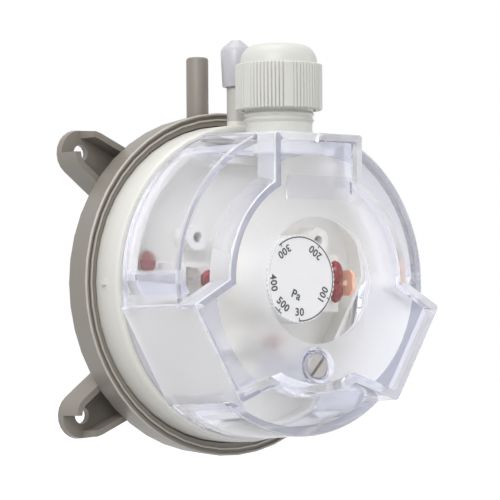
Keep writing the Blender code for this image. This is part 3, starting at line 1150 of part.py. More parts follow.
def make_calibration(brass, red):
    """Calibration screws with their lacquer: over the contact strip, on the left post and by the wall."""
    shank = 1.2 * MM
    lift = CALIBRATION_HEAD + 2.0 * GAP
    strip_front = contact_depth() + MOVING_STRIP_THICKNESS
    calibration_screw("calibration_screw_right", RIGHT_CALIBRATION_X, 0.0, BRIDGE_FRONT,
                      BRIDGE_FRONT - strip_front, brass)
    calibration_screw("calibration_screw_left", LEFT_POST_X, 0.0, POST_FRONT_DEPTH, shank, brass)
    calibration_screw("calibration_screw_side", SIDE_CALIBRATION_X, SIDE_CALIBRATION_Z, PARTITION_FRONT_DEPTH,
                      shank, brass)
    lacquer_drop("lacquer_right", [(RIGHT_CALIBRATION_X, 2.5 * MM, 1.9 * MM, 3.1 * MM),
                                   (RIGHT_CALIBRATION_X, -2.2 * MM, 1.9 * MM, 2.8 * MM)],
                 BRIDGE_FRONT + lift, 1.8 * MM, red)
    lacquer_drop("lacquer_left", [(LEFT_POST_X + 0.9 * MM, 0.4 * MM, 2.7 * MM, 2.4 * MM)],
                 POST_FRONT_DEPTH + lift, 1.3 * MM, red)
    lacquer_drop("lacquer_lower", [(LOWER_DAB_X, LOWER_BLADE_Z - 0.4 * MM, 2.2 * MM, 1.9 * MM)],
                 POST_FRONT_DEPTH + GAP, 1.2 * MM, red)
    lacquer_drop("lacquer_side", [(SIDE_CALIBRATION_X, SIDE_CALIBRATION_Z, 2.0 * MM, 2.8 * MM)],
                 PARTITION_FRONT_DEPTH + lift, 1.2 * MM, red)


def build():
    clear_scene()
    grey = make_material("grey_plastic", GREY, 0.45)
    off_white = make_material("off_white_plastic", OFF_WHITE, 0.42)
    white = make_material("white_plastic", WHITE, 0.4)
    clear = make_material("clear_plastic", CLEAR, 0.08)
    milky = make_material("milky_plastic", MILKY, 0.35)
    rubber = make_material("grey_rubber", RUBBER_GREY, 0.7)
    silicone = make_material("silicone", SILICONE, 0.55)
    copper = make_material("copper", COPPER, 0.35, 1.0)
    brass = make_material("brass", BRASS, 0.35, 1.0)
    steel = make_material("zinc_steel", STEEL, 0.3, 1.0)
    red = make_material("red_lacquer", LACQUER, 0.15)

    make_base(grey)
    make_diaphragm(silicone)
    make_diaphragm_plate(white)
    make_middle_housing(off_white)
    make_gasket(milky)
    make_cover(clear)
    make_cover_screw(steel)
    make_screw_seal(rubber)
    make_gland_body(off_white)
    make_gland_seal(rubber)
    make_gland_nut(off_white)
    make_port_cap(milky)
    make_setting_knob(white)
    make_adjuster(brass)
    make_spring_seat(white)
    make_range_spring(steel)
    make_switch_carrier(off_white)
    make_contact_spring(copper)
    make_fixed_contacts(brass)
    make_blades(copper, brass)
    make_calibration(brass, red)


build()
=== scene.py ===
import math

import bmesh
import bpy
from mathutils import Matrix, Vector


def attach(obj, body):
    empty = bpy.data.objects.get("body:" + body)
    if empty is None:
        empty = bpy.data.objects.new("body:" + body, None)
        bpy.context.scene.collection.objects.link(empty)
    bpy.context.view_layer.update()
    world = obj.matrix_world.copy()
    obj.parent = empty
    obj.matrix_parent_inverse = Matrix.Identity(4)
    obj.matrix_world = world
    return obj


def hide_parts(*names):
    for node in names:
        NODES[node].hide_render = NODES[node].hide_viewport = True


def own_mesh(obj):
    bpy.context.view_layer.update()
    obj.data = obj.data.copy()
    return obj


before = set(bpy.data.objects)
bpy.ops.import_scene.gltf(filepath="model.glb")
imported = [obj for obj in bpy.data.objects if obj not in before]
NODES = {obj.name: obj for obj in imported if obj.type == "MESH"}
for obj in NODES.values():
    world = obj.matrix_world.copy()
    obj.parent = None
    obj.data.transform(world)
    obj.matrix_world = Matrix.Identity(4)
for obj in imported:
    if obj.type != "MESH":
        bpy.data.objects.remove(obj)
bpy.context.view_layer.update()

# Sizes are in millimetres, and a depth is measured from the wall towards the front
MM = 0.001

# Points closer than this, in metres, become one, and edges above these angles, in degrees, look sharp
WELD = 0.000002
ROUND_ANGLE = 35.0
SHARP_ANGLE = 32.0
COVER_SHARP_ANGLE = 30.0

# The cover, as in the CAD: a drum with three flats, and a raised front with an arm to each flat
RIM_DEPTH = 25.5
LEDGE_DEPTH = 46.7
FRONT_DEPTH = 53.4
DRUM_RIM = 38.4
DRUM_LEDGE = 37.6
PLATEAU_BACK = 27.8
PLATEAU_FRONT = 27.0
FLAT_RIM = 36.6
FLAT_FRONT = 35.4
HALF_RIM = 14.0
HALF_FRONT = 13.4
WALL = 2.3
FLAT_WALL = 2.0
LEFT_ARM = math.radians(210.0)
RIGHT_ARM = math.radians(330.0)
FLAT_ANGLES = [math.radians(90.0), LEFT_ARM, RIGHT_ARM]

# The cover's rounded edges and border strips, which carry painted highlight and painted reflection, and how
# far the lower arms open at their foot
ARM_CORNER = 0.8
EDGE_ROUND = 0.45
CORNER_ROUND = 0.4
FRONT_ROUND = 0.3
FRONT_STRIP = 1.5
# Above this height a left-looking part of the front's border gets painted shade, below it painted reflection
STRIP_TURN = -1.5
LEDGE_STRIP = 1.5
SIDE_SPREAD = 2.4
ARC_STEPS = 44
CORNER_STEPS = 4

# The cover's frosted parts, the bright line behind the frosted belt, which is painted highlight, and the
# clear window
FROST_RADIUS = 30.2
FROST_BACK = 27.8
FROST_FRONT = 44.4
FROST_FLAT_DISTANCE = 30.3
FROST_LINE_BACK = 0.3
FROST_LINE_FRONT = 0.1
CLEAR_STRIPE = 1.3
WINDOW_RADIUS = 15.3
WINDOW_DEPTH = 0.12

# The screw's pillar, well and hole
SCREW_Z = -20.6
PILLAR_RADIUS = 3.2
PILLAR_BACK = 31.3
PILLAR_NECK = 46.7
PILLAR_HEAD_RADIUS = 4.6
PILLAR_HEAD = 48.2
WELL_RADIUS = 3.35
WELL_FLOOR = 49.6
WELL_SHOULDER = 52.65
WELL_MOUTH_RADIUS = 4.1
WELL_ZONE = 5.0
SCREW_HOLE_RADIUS = 1.85
SCREW_HOLE_BACK = 30.3

# The recess in the front, the ribs beside the arms and the gland's hole
RECESS_HALF = 9.9
RECESS_BOTTOM = 19.4
RECESS_TOP = 25.0
RECESS_DEPTH = 0.5
RIB_NEAR = 29.9
RIB_FAR = 31.1
RIB_START = 13.6
RIB_END = 19.3
RIB_BACK = 29.0
GLAND_DEPTH = 37.7
GLAND_HOLE_RADIUS = 8.45
GLAND_HOLE_BOTTOM = 33.2
GLAND_HOLE_TOP = 38.6
CUT_PROUD = 1.0

# How the cover's faces are told apart: by how near they lie to a plane or a wall, and by where they look
HAIR = 0.01
NEAR = 0.05
SLACK = 0.1
FLAT_SLACK = 0.3
WINDOW_SLACK = 0.3
SIDE_SLACK = 0.4
DRUM_SLACK = 0.5
CORNER_REACH = 1.0
BEYOND = 1.0
ARM_START = 20.0
MILKY_WALL_START = 12.0
LOOKS_ACROSS = 0.2
LOOKS_AHEAD = 0.9
LOOKS_SIDEWAYS = 0.95
LOOKS_OUT = 0.98
CORNER_TURN = 0.2
# How far the front's border must look left to get painted shade, and right to get painted light
STRIP_LEFT = -0.25
STRIP_RIGHT = 0.3

# The edges of the base's lip, made lighter as painted highlight, and the port's stem, made greyer than the
# housing as painted shade
LIP_EDGE_DEPTH = 16.1
LIP_EDGE_RADIUS = 42.4
LIP_RIDGE_RADIUS = 41.35
PORT_FOOT = 40.3

# Print on the knob's face: numbers with their angles, and the scale round them
DIAL_Z = 0.5
KNOB_FRONT = 45.3
INK_GAP = 0.04
DIAL_FACE = -(KNOB_FRONT + INK_GAP) * MM
DIAL_NUMBERS = {"30": 268.6, "100": 331.6, "200": 53.0, "300": 125.0, "400": 187.0, "500": 230.0}
NUMBER_WITHOUT_TICK = "400"
NUMBER_RADIUS = 8.1
NUMBER_SIZE = 2.6
UNIT_ANGLE = 253.0
UNIT_RADIUS = 4.1
UNIT_SIZE = 2.9
UNIT_TILT = -22.5
SCALE_RADIUS = 10.15
SCALE_WIDTH = 0.3
SCALE_STRETCHES = {"dial_scale": (-92.0, 128.0), "dial_scale_end": (222.0, 236.0)}
TICK_RADIUS = 9.85
TICK_LENGTH = 0.9
TICK_HALF_ANGLE = 0.8
INK_DEPTH = 0.02
INK_WEIGHT = 0.06
LETTER_SPACE = 1.08

# The gland's nut: ribbed fields round the barrel, a dome and a stepped bore
NUT_BOTTOM = 41.9
NUT_SHOULDER = 53.1
NUT_TOP = 57.9
NUT_RADIUS = 10.65
NUT_EDGE = 0.25
NUT_DOME_RADIUS = 9.5
NUT_DOME_STEPS = 12
NUT_DOME_OVERLAP = 1.0
NUT_TOP_RADIUS = 5.6
NUT_HOLE_RADIUS = 4.8
NUT_LIP = 1.4
NUT_BORE = 9.0
NUT_BORE_TOP = 51.0
NUT_NECK = 7.9
NUT_NECK_BOTTOM = 52.1
NUT_NECK_TOP = 54.2
NUT_FIELDS = 6
NUT_GROOVES = 9
NUT_GROOVE_DEPTH = 0.5
NUT_FIELD_ANGLE = 46.0
NUT_FIRST_FIELD = -144.0
NUT_SMOOTH_STEPS = 6
NUT_SMOOTH_START = 0.5
NUT_SMOOTH_STEP = 2.5

# One groove of the nut: share of the pitch, and share of the groove's depth
NUT_GROOVE_SHAPE = [(0.0, 0.6), (0.1, 0.12), (0.25, 0.0), (0.55, 0.0), (0.7, 0.12), (0.8, 0.6), (0.9, 1.0)]

# The fine grain of moulded plastic
GRAIN_SCALE = 2500.0
GRAIN_DETAIL = 3.0
GRAIN_DEPTH = 0.0001

# Stage and lights, in metres and watts; each lamp has a name, a place, a width and a power
FLOOR_HALF = 6.0
FLOOR_Z = -0.085
FLOOR_GLOW = 0.78
SOFT_LIGHT = 0.54
LIGHT_TARGET = Vector((0.0, -0.03, 0.0))
LAMPS = [
    ("key", Vector((-0.72, -0.54, 0.55)), 0.6, 5.5),
    ("side", Vector((0.70, -0.45, 0.20)), 0.5, 1.0),
    ("top", Vector((-0.1, 0.05, 0.9)), 0.6, 2.6),
]

# The camera's place in metres, its yaw and pitch in degrees, its roll in radians and its lens in millimetres
CAMERA_PLACE = Vector((-0.4469, -0.6171, -0.0199))
CAMERA_YAW = 37.07
CAMERA_PITCH = 2.17
CAMERA_ROLL = -0.0073
CAMERA_LENS = 216.07


# Helpers for meshes

def new_object(name, bm):
    """Object with the mesh's curved faces shaded smoothly."""
    mesh = bpy.data.meshes.new(name)
    bmesh.ops.remove_doubles(bm, verts=bm.verts, dist=1e-7)
    bmesh.ops.recalc_face_normals(bm, faces=bm.faces)
    bm.to_mesh(mesh)
    bm.free()
    smooth(mesh, ROUND_ANGLE)
    item = bpy.data.objects.new(name, mesh)
    bpy.context.scene.collection.objects.link(item)
    return item


def smooth(mesh, angle):
    mesh.shade_smooth()
    mesh.set_sharp_from_angle(angle=math.radians(angle))


def at_depth(x, z, depth):
    return Vector((x, -depth, z)) * MM


def bridge(bm, rings, close=True):
    """Faces from ring to ring, and over both ends where close is set."""
    for lower, upper in zip(rings, rings[1:]):
        for j in range(len(lower)):
            k = (j + 1) % len(lower)
            bm.faces.new([lower[j], lower[k], upper[k], upper[j]])
    if close:
        bm.faces.new(rings[0])
        bm.faces.new(rings[-1])


def circle(bm, x, z, radius, depth, count):
    """Ring of points about an axis that runs front to back; one point, repeated, where the radius is 0."""
    if radius == 0.0:
        return [bm.verts.new(at_depth(x, z, depth))] * count
    turns = [2 * math.pi * i / count for i in range(count)]
    return [bm.verts.new(at_depth(x + radius * math.cos(turn), z + radius * math.sin(turn), depth))
            for turn in turns]


def disc_solid(name, x, z, radius, back, front, count):
    bm = bmesh.new()
    bridge(bm, [circle(bm, x, z, radius, depth, count) for depth in (back, front)])
    return new_object(name, bm)


def lathe(name, profile, x, z, count=48):
    """Solid turned from (radius, depth) points about an axis that runs front to back."""
    bm = bmesh.new()
    rings = [circle(bm, x, z, radius, depth, count) for radius, depth in profile]
    for lower, upper in zip(rings, rings[1:]):
        for j in range(count):
            k = (j + 1) % count
            corners = list(dict.fromkeys([lower[j], lower[k], upper[k], upper[j]]))
            if len(corners) > 2:
                bm.faces.new(corners)
    return new_object(name, bm)


def upright_lathe(name, profile):
    """Solid turned from (radius, height) points about the Z axis."""
    item = lathe(name, profile, 0.0, 0.0, count=96)
    item.data.transform(Matrix.Rotation(math.radians(-90.0), 4, "X"))
    return item


def outline_solid(name, outline, back, front):
    bm = bmesh.new()
    bridge(bm, [[bm.verts.new(at_depth(x, z, depth)) for x, z in outline] for depth in (back, front)])
    return new_object(name, bm)


def boolean(target, tools, operation):
    """Combine with each tool in turn and drop the tools."""
    for tool in tools:
        modifier = target.modifiers.new("cut", "BOOLEAN")
        modifier.operation = operation
        modifier.solver = "EXACT"
        modifier.object = tool
        bpy.context.view_layer.update()
        evaluated = target.evaluated_get(bpy.context.evaluated_depsgraph_get())
        mesh = bpy.data.meshes.new_from_object(evaluated)
        target.modifiers.clear()
        target.data = mesh
        bpy.data.objects.remove(tool, do_unlink=True)


# Shader nodes

def math_node(tree, operation, first, second):
    node = tree.nodes.new("ShaderNodeMath")
    node.operation = operation
    for socket, value in zip(node.inputs, (first, second)):
        if isinstance(value, float):
            socket.default_value = value
        else:
            tree.links.new(value, socket)
    return node.outputs["Value"]


def below(tree, value, limit):
    return math_node(tree, "LESS_THAN", value, limit)


def above(tree, value, limit):
    return math_node(tree, "GREATER_THAN", value, limit)


def both(tree, first, second):
    """1 where both masks are 1."""
    return math_node(tree, "MULTIPLY", first, second)


def coordinate(tree, axis):
    """One of the object's own coordinates: X, Y or Z."""
    place = tree.nodes.new("ShaderNodeTexCoord")
    split = tree.nodes.new("ShaderNodeSeparateXYZ")
    tree.links.new(place.outputs["Object"], split.inputs["Vector"])
    return split.outputs[axis]


def axis_square(tree):
    """Square of the distance from the axis that runs front to back."""
    x = coordinate(tree, "X")
    z = coordinate(tree, "Z")
    return math_node(tree, "ADD", math_node(tree, "MULTIPLY", x, x), math_node(tree, "MULTIPLY", z, z))


def reach(tree, angle):
    """Distance from the axis, measured towards the flat at an angle."""
    across = math_node(tree, "MULTIPLY", coordinate(tree, "X"), math.cos(angle))
    up = math_node(tree, "MULTIPLY", coordinate(tree, "Z"), math.sin(angle))
    return math_node(tree, "ADD", across, up)


def blend_value(tree, factor, outside, inside, socket):
    mix = tree.nodes.new("ShaderNodeMix")
    mix.data_type = "FLOAT"
    mix.inputs["A"].default_value = outside
    mix.inputs["B"].default_value = inside
    tree.links.new(factor, mix.inputs["Factor"])
    tree.links.new(mix.outputs["Result"], socket)


def blend_colour(tree, factor, outside, inside, socket):
    mix = tree.nodes.new("ShaderNodeMixRGB")
    mix.inputs["Color1"].default_value = (*outside, 1.0)
    mix.inputs["Color2"].default_value = (*inside, 1.0)
    tree.links.new(factor, mix.inputs["Fac"])
    tree.links.new(mix.outputs["Color"], socket)


# Masks, which are 1 on a part of a surface and 0 elsewhere

def beyond_frost(tree):
    """Outside the frosted circle of the front."""
    return above(tree, axis_square(tree), (FROST_RADIUS * MM) ** 2)


def right_arm_shade(tree):
    """Outside the frosted circle in the lower right arm, up to a clear stripe along its wall, where a dark
    tint is painted shade.
    """
    arm = both(tree, above(tree, coordinate(tree, "X"), 0.0), below(tree, coordinate(tree, "Z"), 0.0))
    inside = below(tree, reach(tree, RIGHT_ARM), (FLAT_FRONT - FLAT_WALL - CLEAR_STRIPE) * MM)
    return both(tree, beyond_frost(tree), both(tree, arm, inside))


def inside_frost_ring(tree):
    """The frosted ring of the front's inner face, between the clear window and the clear margin."""
    square = axis_square(tree)
    return both(tree, below(tree, square, (FROST_RADIUS * MM) ** 2),
                above(tree, square, (WINDOW_RADIUS * MM) ** 2))


def inside_frost_band(tree):
    """The frosted belt of the drum; its rim, its front edge and the corners by the flats stay clear."""
    y = coordinate(tree, "Y")
    mask = both(tree, below(tree, y, -FROST_BACK * MM), above(tree, y, -FROST_FRONT * MM))
    for angle in FLAT_ANGLES:
        mask = both(tree, mask, below(tree, reach(tree, angle), FROST_FLAT_DISTANCE * MM))
    return mask


# Above the port's foot, where the housing is made greyer as painted shade
def port_stem_shade(tree):
    return above(tree, coordinate(tree, "Z"), PORT_FOOT * MM)


def painted_lip_highlight(tree):
    """The two narrow edges at the front of the base's lip, on either side of its groove, which get a lighter
    colour as painted highlight.
    """
    square = axis_square(tree)
    outside = above(tree, square, (LIP_EDGE_RADIUS * MM) ** 2)
    inside = below(tree, square, (LIP_RIDGE_RADIUS * MM) ** 2)
    front = below(tree, coordinate(tree, "Y"), -LIP_EDGE_DEPTH * MM)
    return both(tree, front, math_node(tree, "ADD", outside, inside))


# Materials

def material(name):
    made = bpy.data.materials.new(name)
    made.use_nodes = True
    return made, made.node_tree, made.node_tree.nodes["Principled BSDF"]


def plastic(name, colour, roughness, grain=0.0, subsurface=0.0, painted_light=None):
    """Moulded plastic with an optional fine spark-eroded grain, and an optional mask with a colour painted
    there as light or shade.
    """
    made, tree, shader = material(name)
    shader.inputs["Base Color"].default_value = (*colour, 1.0)
    shader.inputs["Roughness"].default_value = roughness
    if painted_light is not None:
        mask, other = painted_light
        blend_colour(tree, mask(tree), colour, other, shader.inputs["Base Color"])
    if subsurface:
        shader.inputs["Subsurface Weight"].default_value = subsurface
        shader.inputs["Subsurface Radius"].default_value = (1.0, 0.9, 0.8)
        shader.inputs["Subsurface Scale"].default_value = 0.002
    if grain:
        add_grain(tree, shader, grain)
    return made


def add_grain(tree, shader, strength):
    place = tree.nodes.new("ShaderNodeTexCoord")
    noise = tree.nodes.new("ShaderNodeTexNoise")
    noise.inputs["Scale"].default_value = GRAIN_SCALE
    noise.inputs["Detail"].default_value = GRAIN_DETAIL
    bump = tree.nodes.new("ShaderNodeBump")
    bump.inputs["Strength"].default_value = strength
    bump.inputs["Distance"].default_value = GRAIN_DEPTH
    tree.links.new(place.outputs["Object"], noise.inputs["Vector"])
    tree.links.new(noise.outputs["Fac"], bump.inputs["Height"])
    tree.links.new(bump.outputs["Normal"], shader.inputs["Normal"])


def metal(name, colour, roughness, metallic=1.0):
    made, _, shader = material(name)
    shader.inputs["Base Color"].default_value = (*colour, 1.0)
    shader.inputs["Metallic"].default_value = metallic
    shader.inputs["Roughness"].default_value = roughness
    return made


def clear_plastic(name, colour, roughness, haze=0.0, mask=None, plain=None, margin=(), ior=1.42,
                  specular=0.5):
    """See-through plastic with a milky share; shadow rays pass it, so that light reaches what is behind.

    Where a mask is given, plain is the (colour, roughness, haze) of the surface outside the mask.
    The margin's tints are laid over both.
    """
    made, tree, shader = material(name)
    shader.inputs["Base Color"].default_value = (*colour, 1.0)
    shader.inputs["Roughness"].default_value = roughness
    shader.inputs["Transmission Weight"].default_value = 1.0 - haze
    shader.inputs["IOR"].default_value = ior
    shader.inputs["Specular IOR Level"].default_value = specular
    if mask is not None:
        factor = mask(tree)
        outside_colour, outside_roughness, outside_haze = plain
        blend_value(tree, factor, outside_roughness, roughness, shader.inputs["Roughness"])
        blend_value(tree, factor, 1.0 - outside_haze, 1.0 - haze, shader.inputs["Transmission Weight"])
        blend_colour(tree, factor, outside_colour, colour, shader.inputs["Base Color"])
    for tint in margin:
        lay_over(tree, shader, *tint)
    path = tree.nodes.new("ShaderNodeLightPath")
    clear = tree.nodes.new("ShaderNodeBsdfTransparent")
    clear.inputs["Color"].default_value = (*(0.5 + 0.5 * c for c in colour), 1.0)
    mix = tree.nodes.new("ShaderNodeMixShader")
    tree.links.new(path.outputs["Is Shadow Ray"], mix.inputs["Fac"])
    tree.links.new(shader.outputs["BSDF"], mix.inputs[1])
    tree.links.new(clear.outputs["BSDF"], mix.inputs[2])
    tree.links.new(mix.outputs["Shader"], tree.nodes["Material Output"].inputs["Surface"])
    return made


def lay_over(tree, shader, mask, colour, haze):
    """A milky tint over what a surface has already, as the thick border shows in the arms."""
    factor = mask(tree)
    for name, value, kind, sockets in (("Base Color", (*colour, 1.0), "RGBA", (6, 7, 2)),
                                       ("Transmission Weight", 1.0 - haze, "FLOAT", (2, 3, 0))):
        first, second, result = sockets
        socket = shader.inputs[name]
        source = socket.links[0].from_socket
        mix = tree.nodes.new("ShaderNodeMix")
        mix.data_type = kind
        mix.inputs[second].default_value = value
        tree.links.new(factor, mix.inputs[0])
        tree.links.new(source, mix.inputs[first])
        tree.links.new(mix.outputs[result], socket)


# The lighter colour on the lip's edges is painted highlight
GREY = plastic("grey_plastic", (0.262, 0.236, 0.205), 0.42, grain=0.25, painted_light=(painted_lip_highlight, (0.50, 0.47, 0.42)))
# The greyer colour on the port's stem is painted shade
OFF_WHITE = plastic("off_white_plastic", (0.75, 0.74, 0.69), 0.38, grain=0.08,
                    painted_light=(port_stem_shade, (0.50, 0.485, 0.455)))
WHITE = plastic("white_plastic", (0.66, 0.66, 0.65), 0.4)
GLAND = plastic("gland_plastic", (0.69, 0.685, 0.645), 0.36, grain=0.08)
MILKY = plastic("milky_plastic", (0.56, 0.555, 0.59), 0.3, subsurface=0.4)
RUBBER = plastic("grey_rubber", (0.10, 0.10, 0.10), 0.7)
SILICONE = plastic("silicone", (0.55, 0.36, 0.25), 0.5)
INK = plastic("black_ink", (0.02, 0.02, 0.022), 0.5)
LACQUER = plastic("red_lacquer", (0.22, 0.004, 0.004), 0.15)
COPPER = metal("copper", (0.88, 0.50, 0.33), 0.5, metallic=0.35)
BRASS = metal("brass", (0.80, 0.62, 0.32), 0.35)
NICKEL = metal("nickel", (0.48, 0.45, 0.40), 0.45, metallic=0.5)
STEEL = metal("zinc_steel", (0.52, 0.51, 0.51), 0.42)
SCREW = metal("screw_steel", (0.50, 0.475, 0.46), 0.5, metallic=0.25)

# The cover's clear faces, then its frosted ones, its walls, and its border strips and edge lines, which are
# painted reflection, painted shade, painted light and painted highlight
LAVENDER = (0.88, 0.885, 0.95)
COVER_CLEAR = clear_plastic("cover_clear", LAVENDER, 0.03, haze=0.03)
COVER_WINDOW = clear_plastic("cover_window", (0.98, 0.98, 0.985), 0.0, ior=1.34, specular=0.2)
COVER_FRONT = clear_plastic("cover_front", (0.97, 0.97, 0.98), 0.05, haze=0.01, specular=0.3)
COVER_LEDGE = clear_plastic("cover_ledge", (0.88, 0.88, 0.90), 0.12, haze=0.03)
# The back's margin tints: milky lavender in the arms, and in the lower right arm a dark tint as painted shade
COVER_BACK = clear_plastic("cover_back", (0.94, 0.94, 0.955), 0.36, haze=0.17, mask=inside_frost_ring,
                           plain=((0.95, 0.95, 0.98), 0.0, 0.0), specular=0.2,
                           margin=((beyond_frost, (0.74, 0.75, 0.86), 0.3),
                                   (right_arm_shade, (0.38, 0.39, 0.48), 0.6)))
COVER_DRUM = clear_plastic("cover_drum", (0.86, 0.86, 0.88), 0.22, haze=0.04, mask=inside_frost_band,
                           plain=(LAVENDER, 0.03, 0.04))
COVER_FLAT = clear_plastic("cover_flat", (0.94, 0.94, 0.95), 0.45, haze=0.33)
COVER_SIDE = clear_plastic("cover_side", (0.88, 0.885, 0.94), 0.08, haze=0.32)
COVER_WELL = clear_plastic("cover_well", (0.74, 0.75, 0.84), 0.08, haze=0.25)
# A lavender band along the rim, the ledge's edge and the front's border, as painted reflection of the wall
COVER_WALL_REFLECTION = clear_plastic("cover_wall_reflection", (0.82, 0.83, 0.92), 0.10, haze=0.25)
# The front's border where it looks left: a dark tint as painted shade
COVER_EDGE_SHADE = clear_plastic("cover_edge_shade", (0.44, 0.445, 0.525), 0.10, haze=0.6)
# The front's border where it looks right: a pale tint as painted light
COVER_EDGE_LIGHT = clear_plastic("cover_edge_light", (0.92, 0.92, 0.96), 0.10, haze=0.45)
# Milky white on the rounded edges and behind the frosted belt, as painted highlight
COVER_HIGHLIGHT = clear_plastic("cover_highlight", (0.97, 0.97, 1.0), 0.08, haze=0.45)
COVER_MATERIALS = [COVER_CLEAR, COVER_WINDOW, COVER_FRONT, COVER_LEDGE, COVER_DRUM, COVER_FLAT, COVER_WELL,
                   COVER_WALL_REFLECTION, COVER_EDGE_SHADE, COVER_HIGHLIGHT, COVER_BACK, COVER_SIDE, COVER_EDGE_LIGHT]

NODE_MATERIALS = {
    "base_housing": GREY, "diaphragm": SILICONE, "diaphragm_plate": WHITE, "middle_housing": OFF_WHITE,
    "cover_gasket": MILKY, "cover": COVER_CLEAR, "cover_screw": SCREW, "screw_seal": RUBBER,
    "gland_body": GLAND, "gland_seal": RUBBER, "gland_nut": GLAND, "port_cap": MILKY,
    "setting_knob": WHITE, "adjuster_nut": BRASS, "spring_seat": WHITE, "range_spring": STEEL,
    "switch_carrier": OFF_WHITE, "contact_spring": COPPER, "fixed_contact_back": BRASS,
    "fixed_contact_front": BRASS, "terminal_common": COPPER, "terminal_left": NICKEL,
    "terminal_lower": NICKEL, "calibration_screw_right": BRASS, "calibration_screw_left": BRASS,
    "calibration_screw_side": BRASS, "lacquer_right": LACQUER, "lacquer_left": LACQUER,
    "lacquer_side": LACQUER, "lacquer_lower": LACQUER,
}


# CAD nodes

def round_shading():
    """Modifier nodes that shade curved faces smoothly and keep the edges sharp; no point moves."""
    group = bpy.data.node_groups.new("round_shading", "GeometryNodeTree")
    group.interface.new_socket("Geometry", in_out="INPUT", socket_type="NodeSocketGeometry")
    group.interface.new_socket("Geometry", in_out="OUTPUT", socket_type="NodeSocketGeometry")
    source = group.nodes.new("NodeGroupInput")
    result = group.nodes.new("NodeGroupOutput")
    merge = group.nodes.new("GeometryNodeMergeByDistance")
    merge.inputs["Distance"].default_value = WELD
    plain = group.nodes.new("GeometryNodeRemoveAttribute")
    plain.inputs["Name"].default_value = "custom_normal"
    faces = group.nodes.new("GeometryNodeSetShadeSmooth")
    edges = group.nodes.new("GeometryNodeSetShadeSmooth")
    edges.domain = "EDGE"
    edges.inputs["Shade Smooth"].default_value = False
    angle = group.nodes.new("GeometryNodeInputMeshEdgeAngle")
    sharp = group.nodes.new("FunctionNodeCompare")
    sharp.operation = "GREATER_THAN"
    sharp.inputs[1].default_value = math.radians(SHARP_ANGLE)
    link = group.links.new
    link(source.outputs[0], merge.inputs["Geometry"])
    link(merge.outputs["Geometry"], plain.inputs["Geometry"])
    link(plain.outputs["Geometry"], faces.inputs["Geometry"])
    link(faces.outputs["Geometry"], edges.inputs["Geometry"])
    link(angle.outputs["Unsigned Angle"], sharp.inputs[0])
    link(sharp.outputs["Result"], edges.inputs["Selection"])
    link(edges.outputs["Geometry"], result.inputs[0])
    return group


def dress_nodes(shading):
    """Give every CAD node its material, and shade its curved faces smoothly."""
    for name, item in NODES.items():
        item.data.materials.clear()
        item.data.materials.append(NODE_MATERIALS[name])
        item.modifiers.new("round_shading", "NODES").node_group = shading


def make_range_spring(shading):
    """A copy of the CAD spring, shaded smoothly and attached to the base, in place of the hidden CAD spring.
    """
    source = NODES["range_spring"]
    spring = bpy.data.objects.new("spring_coil", source.data.copy())
    bpy.context.scene.collection.objects.link(spring)
    spring.matrix_world = source.matrix_world.copy()
    spring.modifiers.new("round_shading", "NODES").node_group = shading
    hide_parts("range_spring")
    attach(spring, "base")
    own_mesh(spring)


# The cover's outlines

def arc(radius, start, end, steps):
    turns = [start + (end - start) * i / steps for i in range(steps + 1)]
    return [(radius * math.cos(turn), radius * math.sin(turn)) for turn in turns]


def axes_of(angle):
    """Directions out towards a flat and across it, as (x, z)."""
    return Vector((math.cos(angle), math.sin(angle))), Vector((-math.sin(angle), math.cos(angle)))


def cover_outline(radius, drum, flat, half, lean=0.0):
    """Circle with three flats; lean is how much of their spread the lower arms have on the raised front."""
    raised = radius < drum - BEYOND
    shoulder = math.sqrt(drum ** 2 - half ** 2)
    corner = min(ARM_CORNER, 0.9 * (flat - shoulder))
    spread = 0.0
    if raised:
        corner = ARM_CORNER
        shoulder = min(shoulder, flat - corner - NEAR)
        spread = SIDE_SPREAD * lean
    foot = math.sqrt(radius ** 2 - half ** 2)
    root = spread - spread * max(0.0, (shoulder - foot) / (flat - foot))
    points = []
    for angle in FLAT_ANGLES:
        out, across = axes_of(angle)
        tip = flat - corner
        ends = [(shoulder, -half - (root if angle == RIGHT_ARM else 0.0))]
        ends += [(tip + a, corner - half + b) for a, b in arc(corner, -math.pi / 2.0, 0.0, CORNER_STEPS)]
        ends += [(tip + a, half - corner + b) for a, b in arc(corner, 0.0, math.pi / 2.0, CORNER_STEPS)]
        ends += [(shoulder, half + (root if angle == LEFT_ARM else 0.0))]
        points += [tuple(out * distance + across * side) for distance, side in ends]
        arm = math.asin((half + (spread if angle == LEFT_ARM else 0.0)) / radius)
        points += arc(radius, angle + arm, angle + 2.0 * math.pi / 3.0 - arm, ARC_STEPS)
    return points


def section(depth):
    """Share of the way from rim to front, and the flat's distance and the arm's half width, at a depth."""
    share = (depth - RIM_DEPTH) / (FRONT_DEPTH - RIM_DEPTH)
    return share, FLAT_RIM + share * (FLAT_FRONT - FLAT_RIM), HALF_RIM + share * (HALF_FRONT - HALF_RIM)


def front_outline(inset):
    return cover_outline(PLATEAU_FRONT - inset, DRUM_LEDGE, FLAT_FRONT - inset, HALF_FRONT - inset, 1.0)


def edge_steps(radius, steps=4):
    """Inset and setback of each step round a convex edge."""
    turns = [math.pi / 2.0 * i / steps for i in range(steps + 1)]
    return [(radius * (1.0 - math.cos(turn)), radius * (1.0 - math.sin(turn))) for turn in turns]


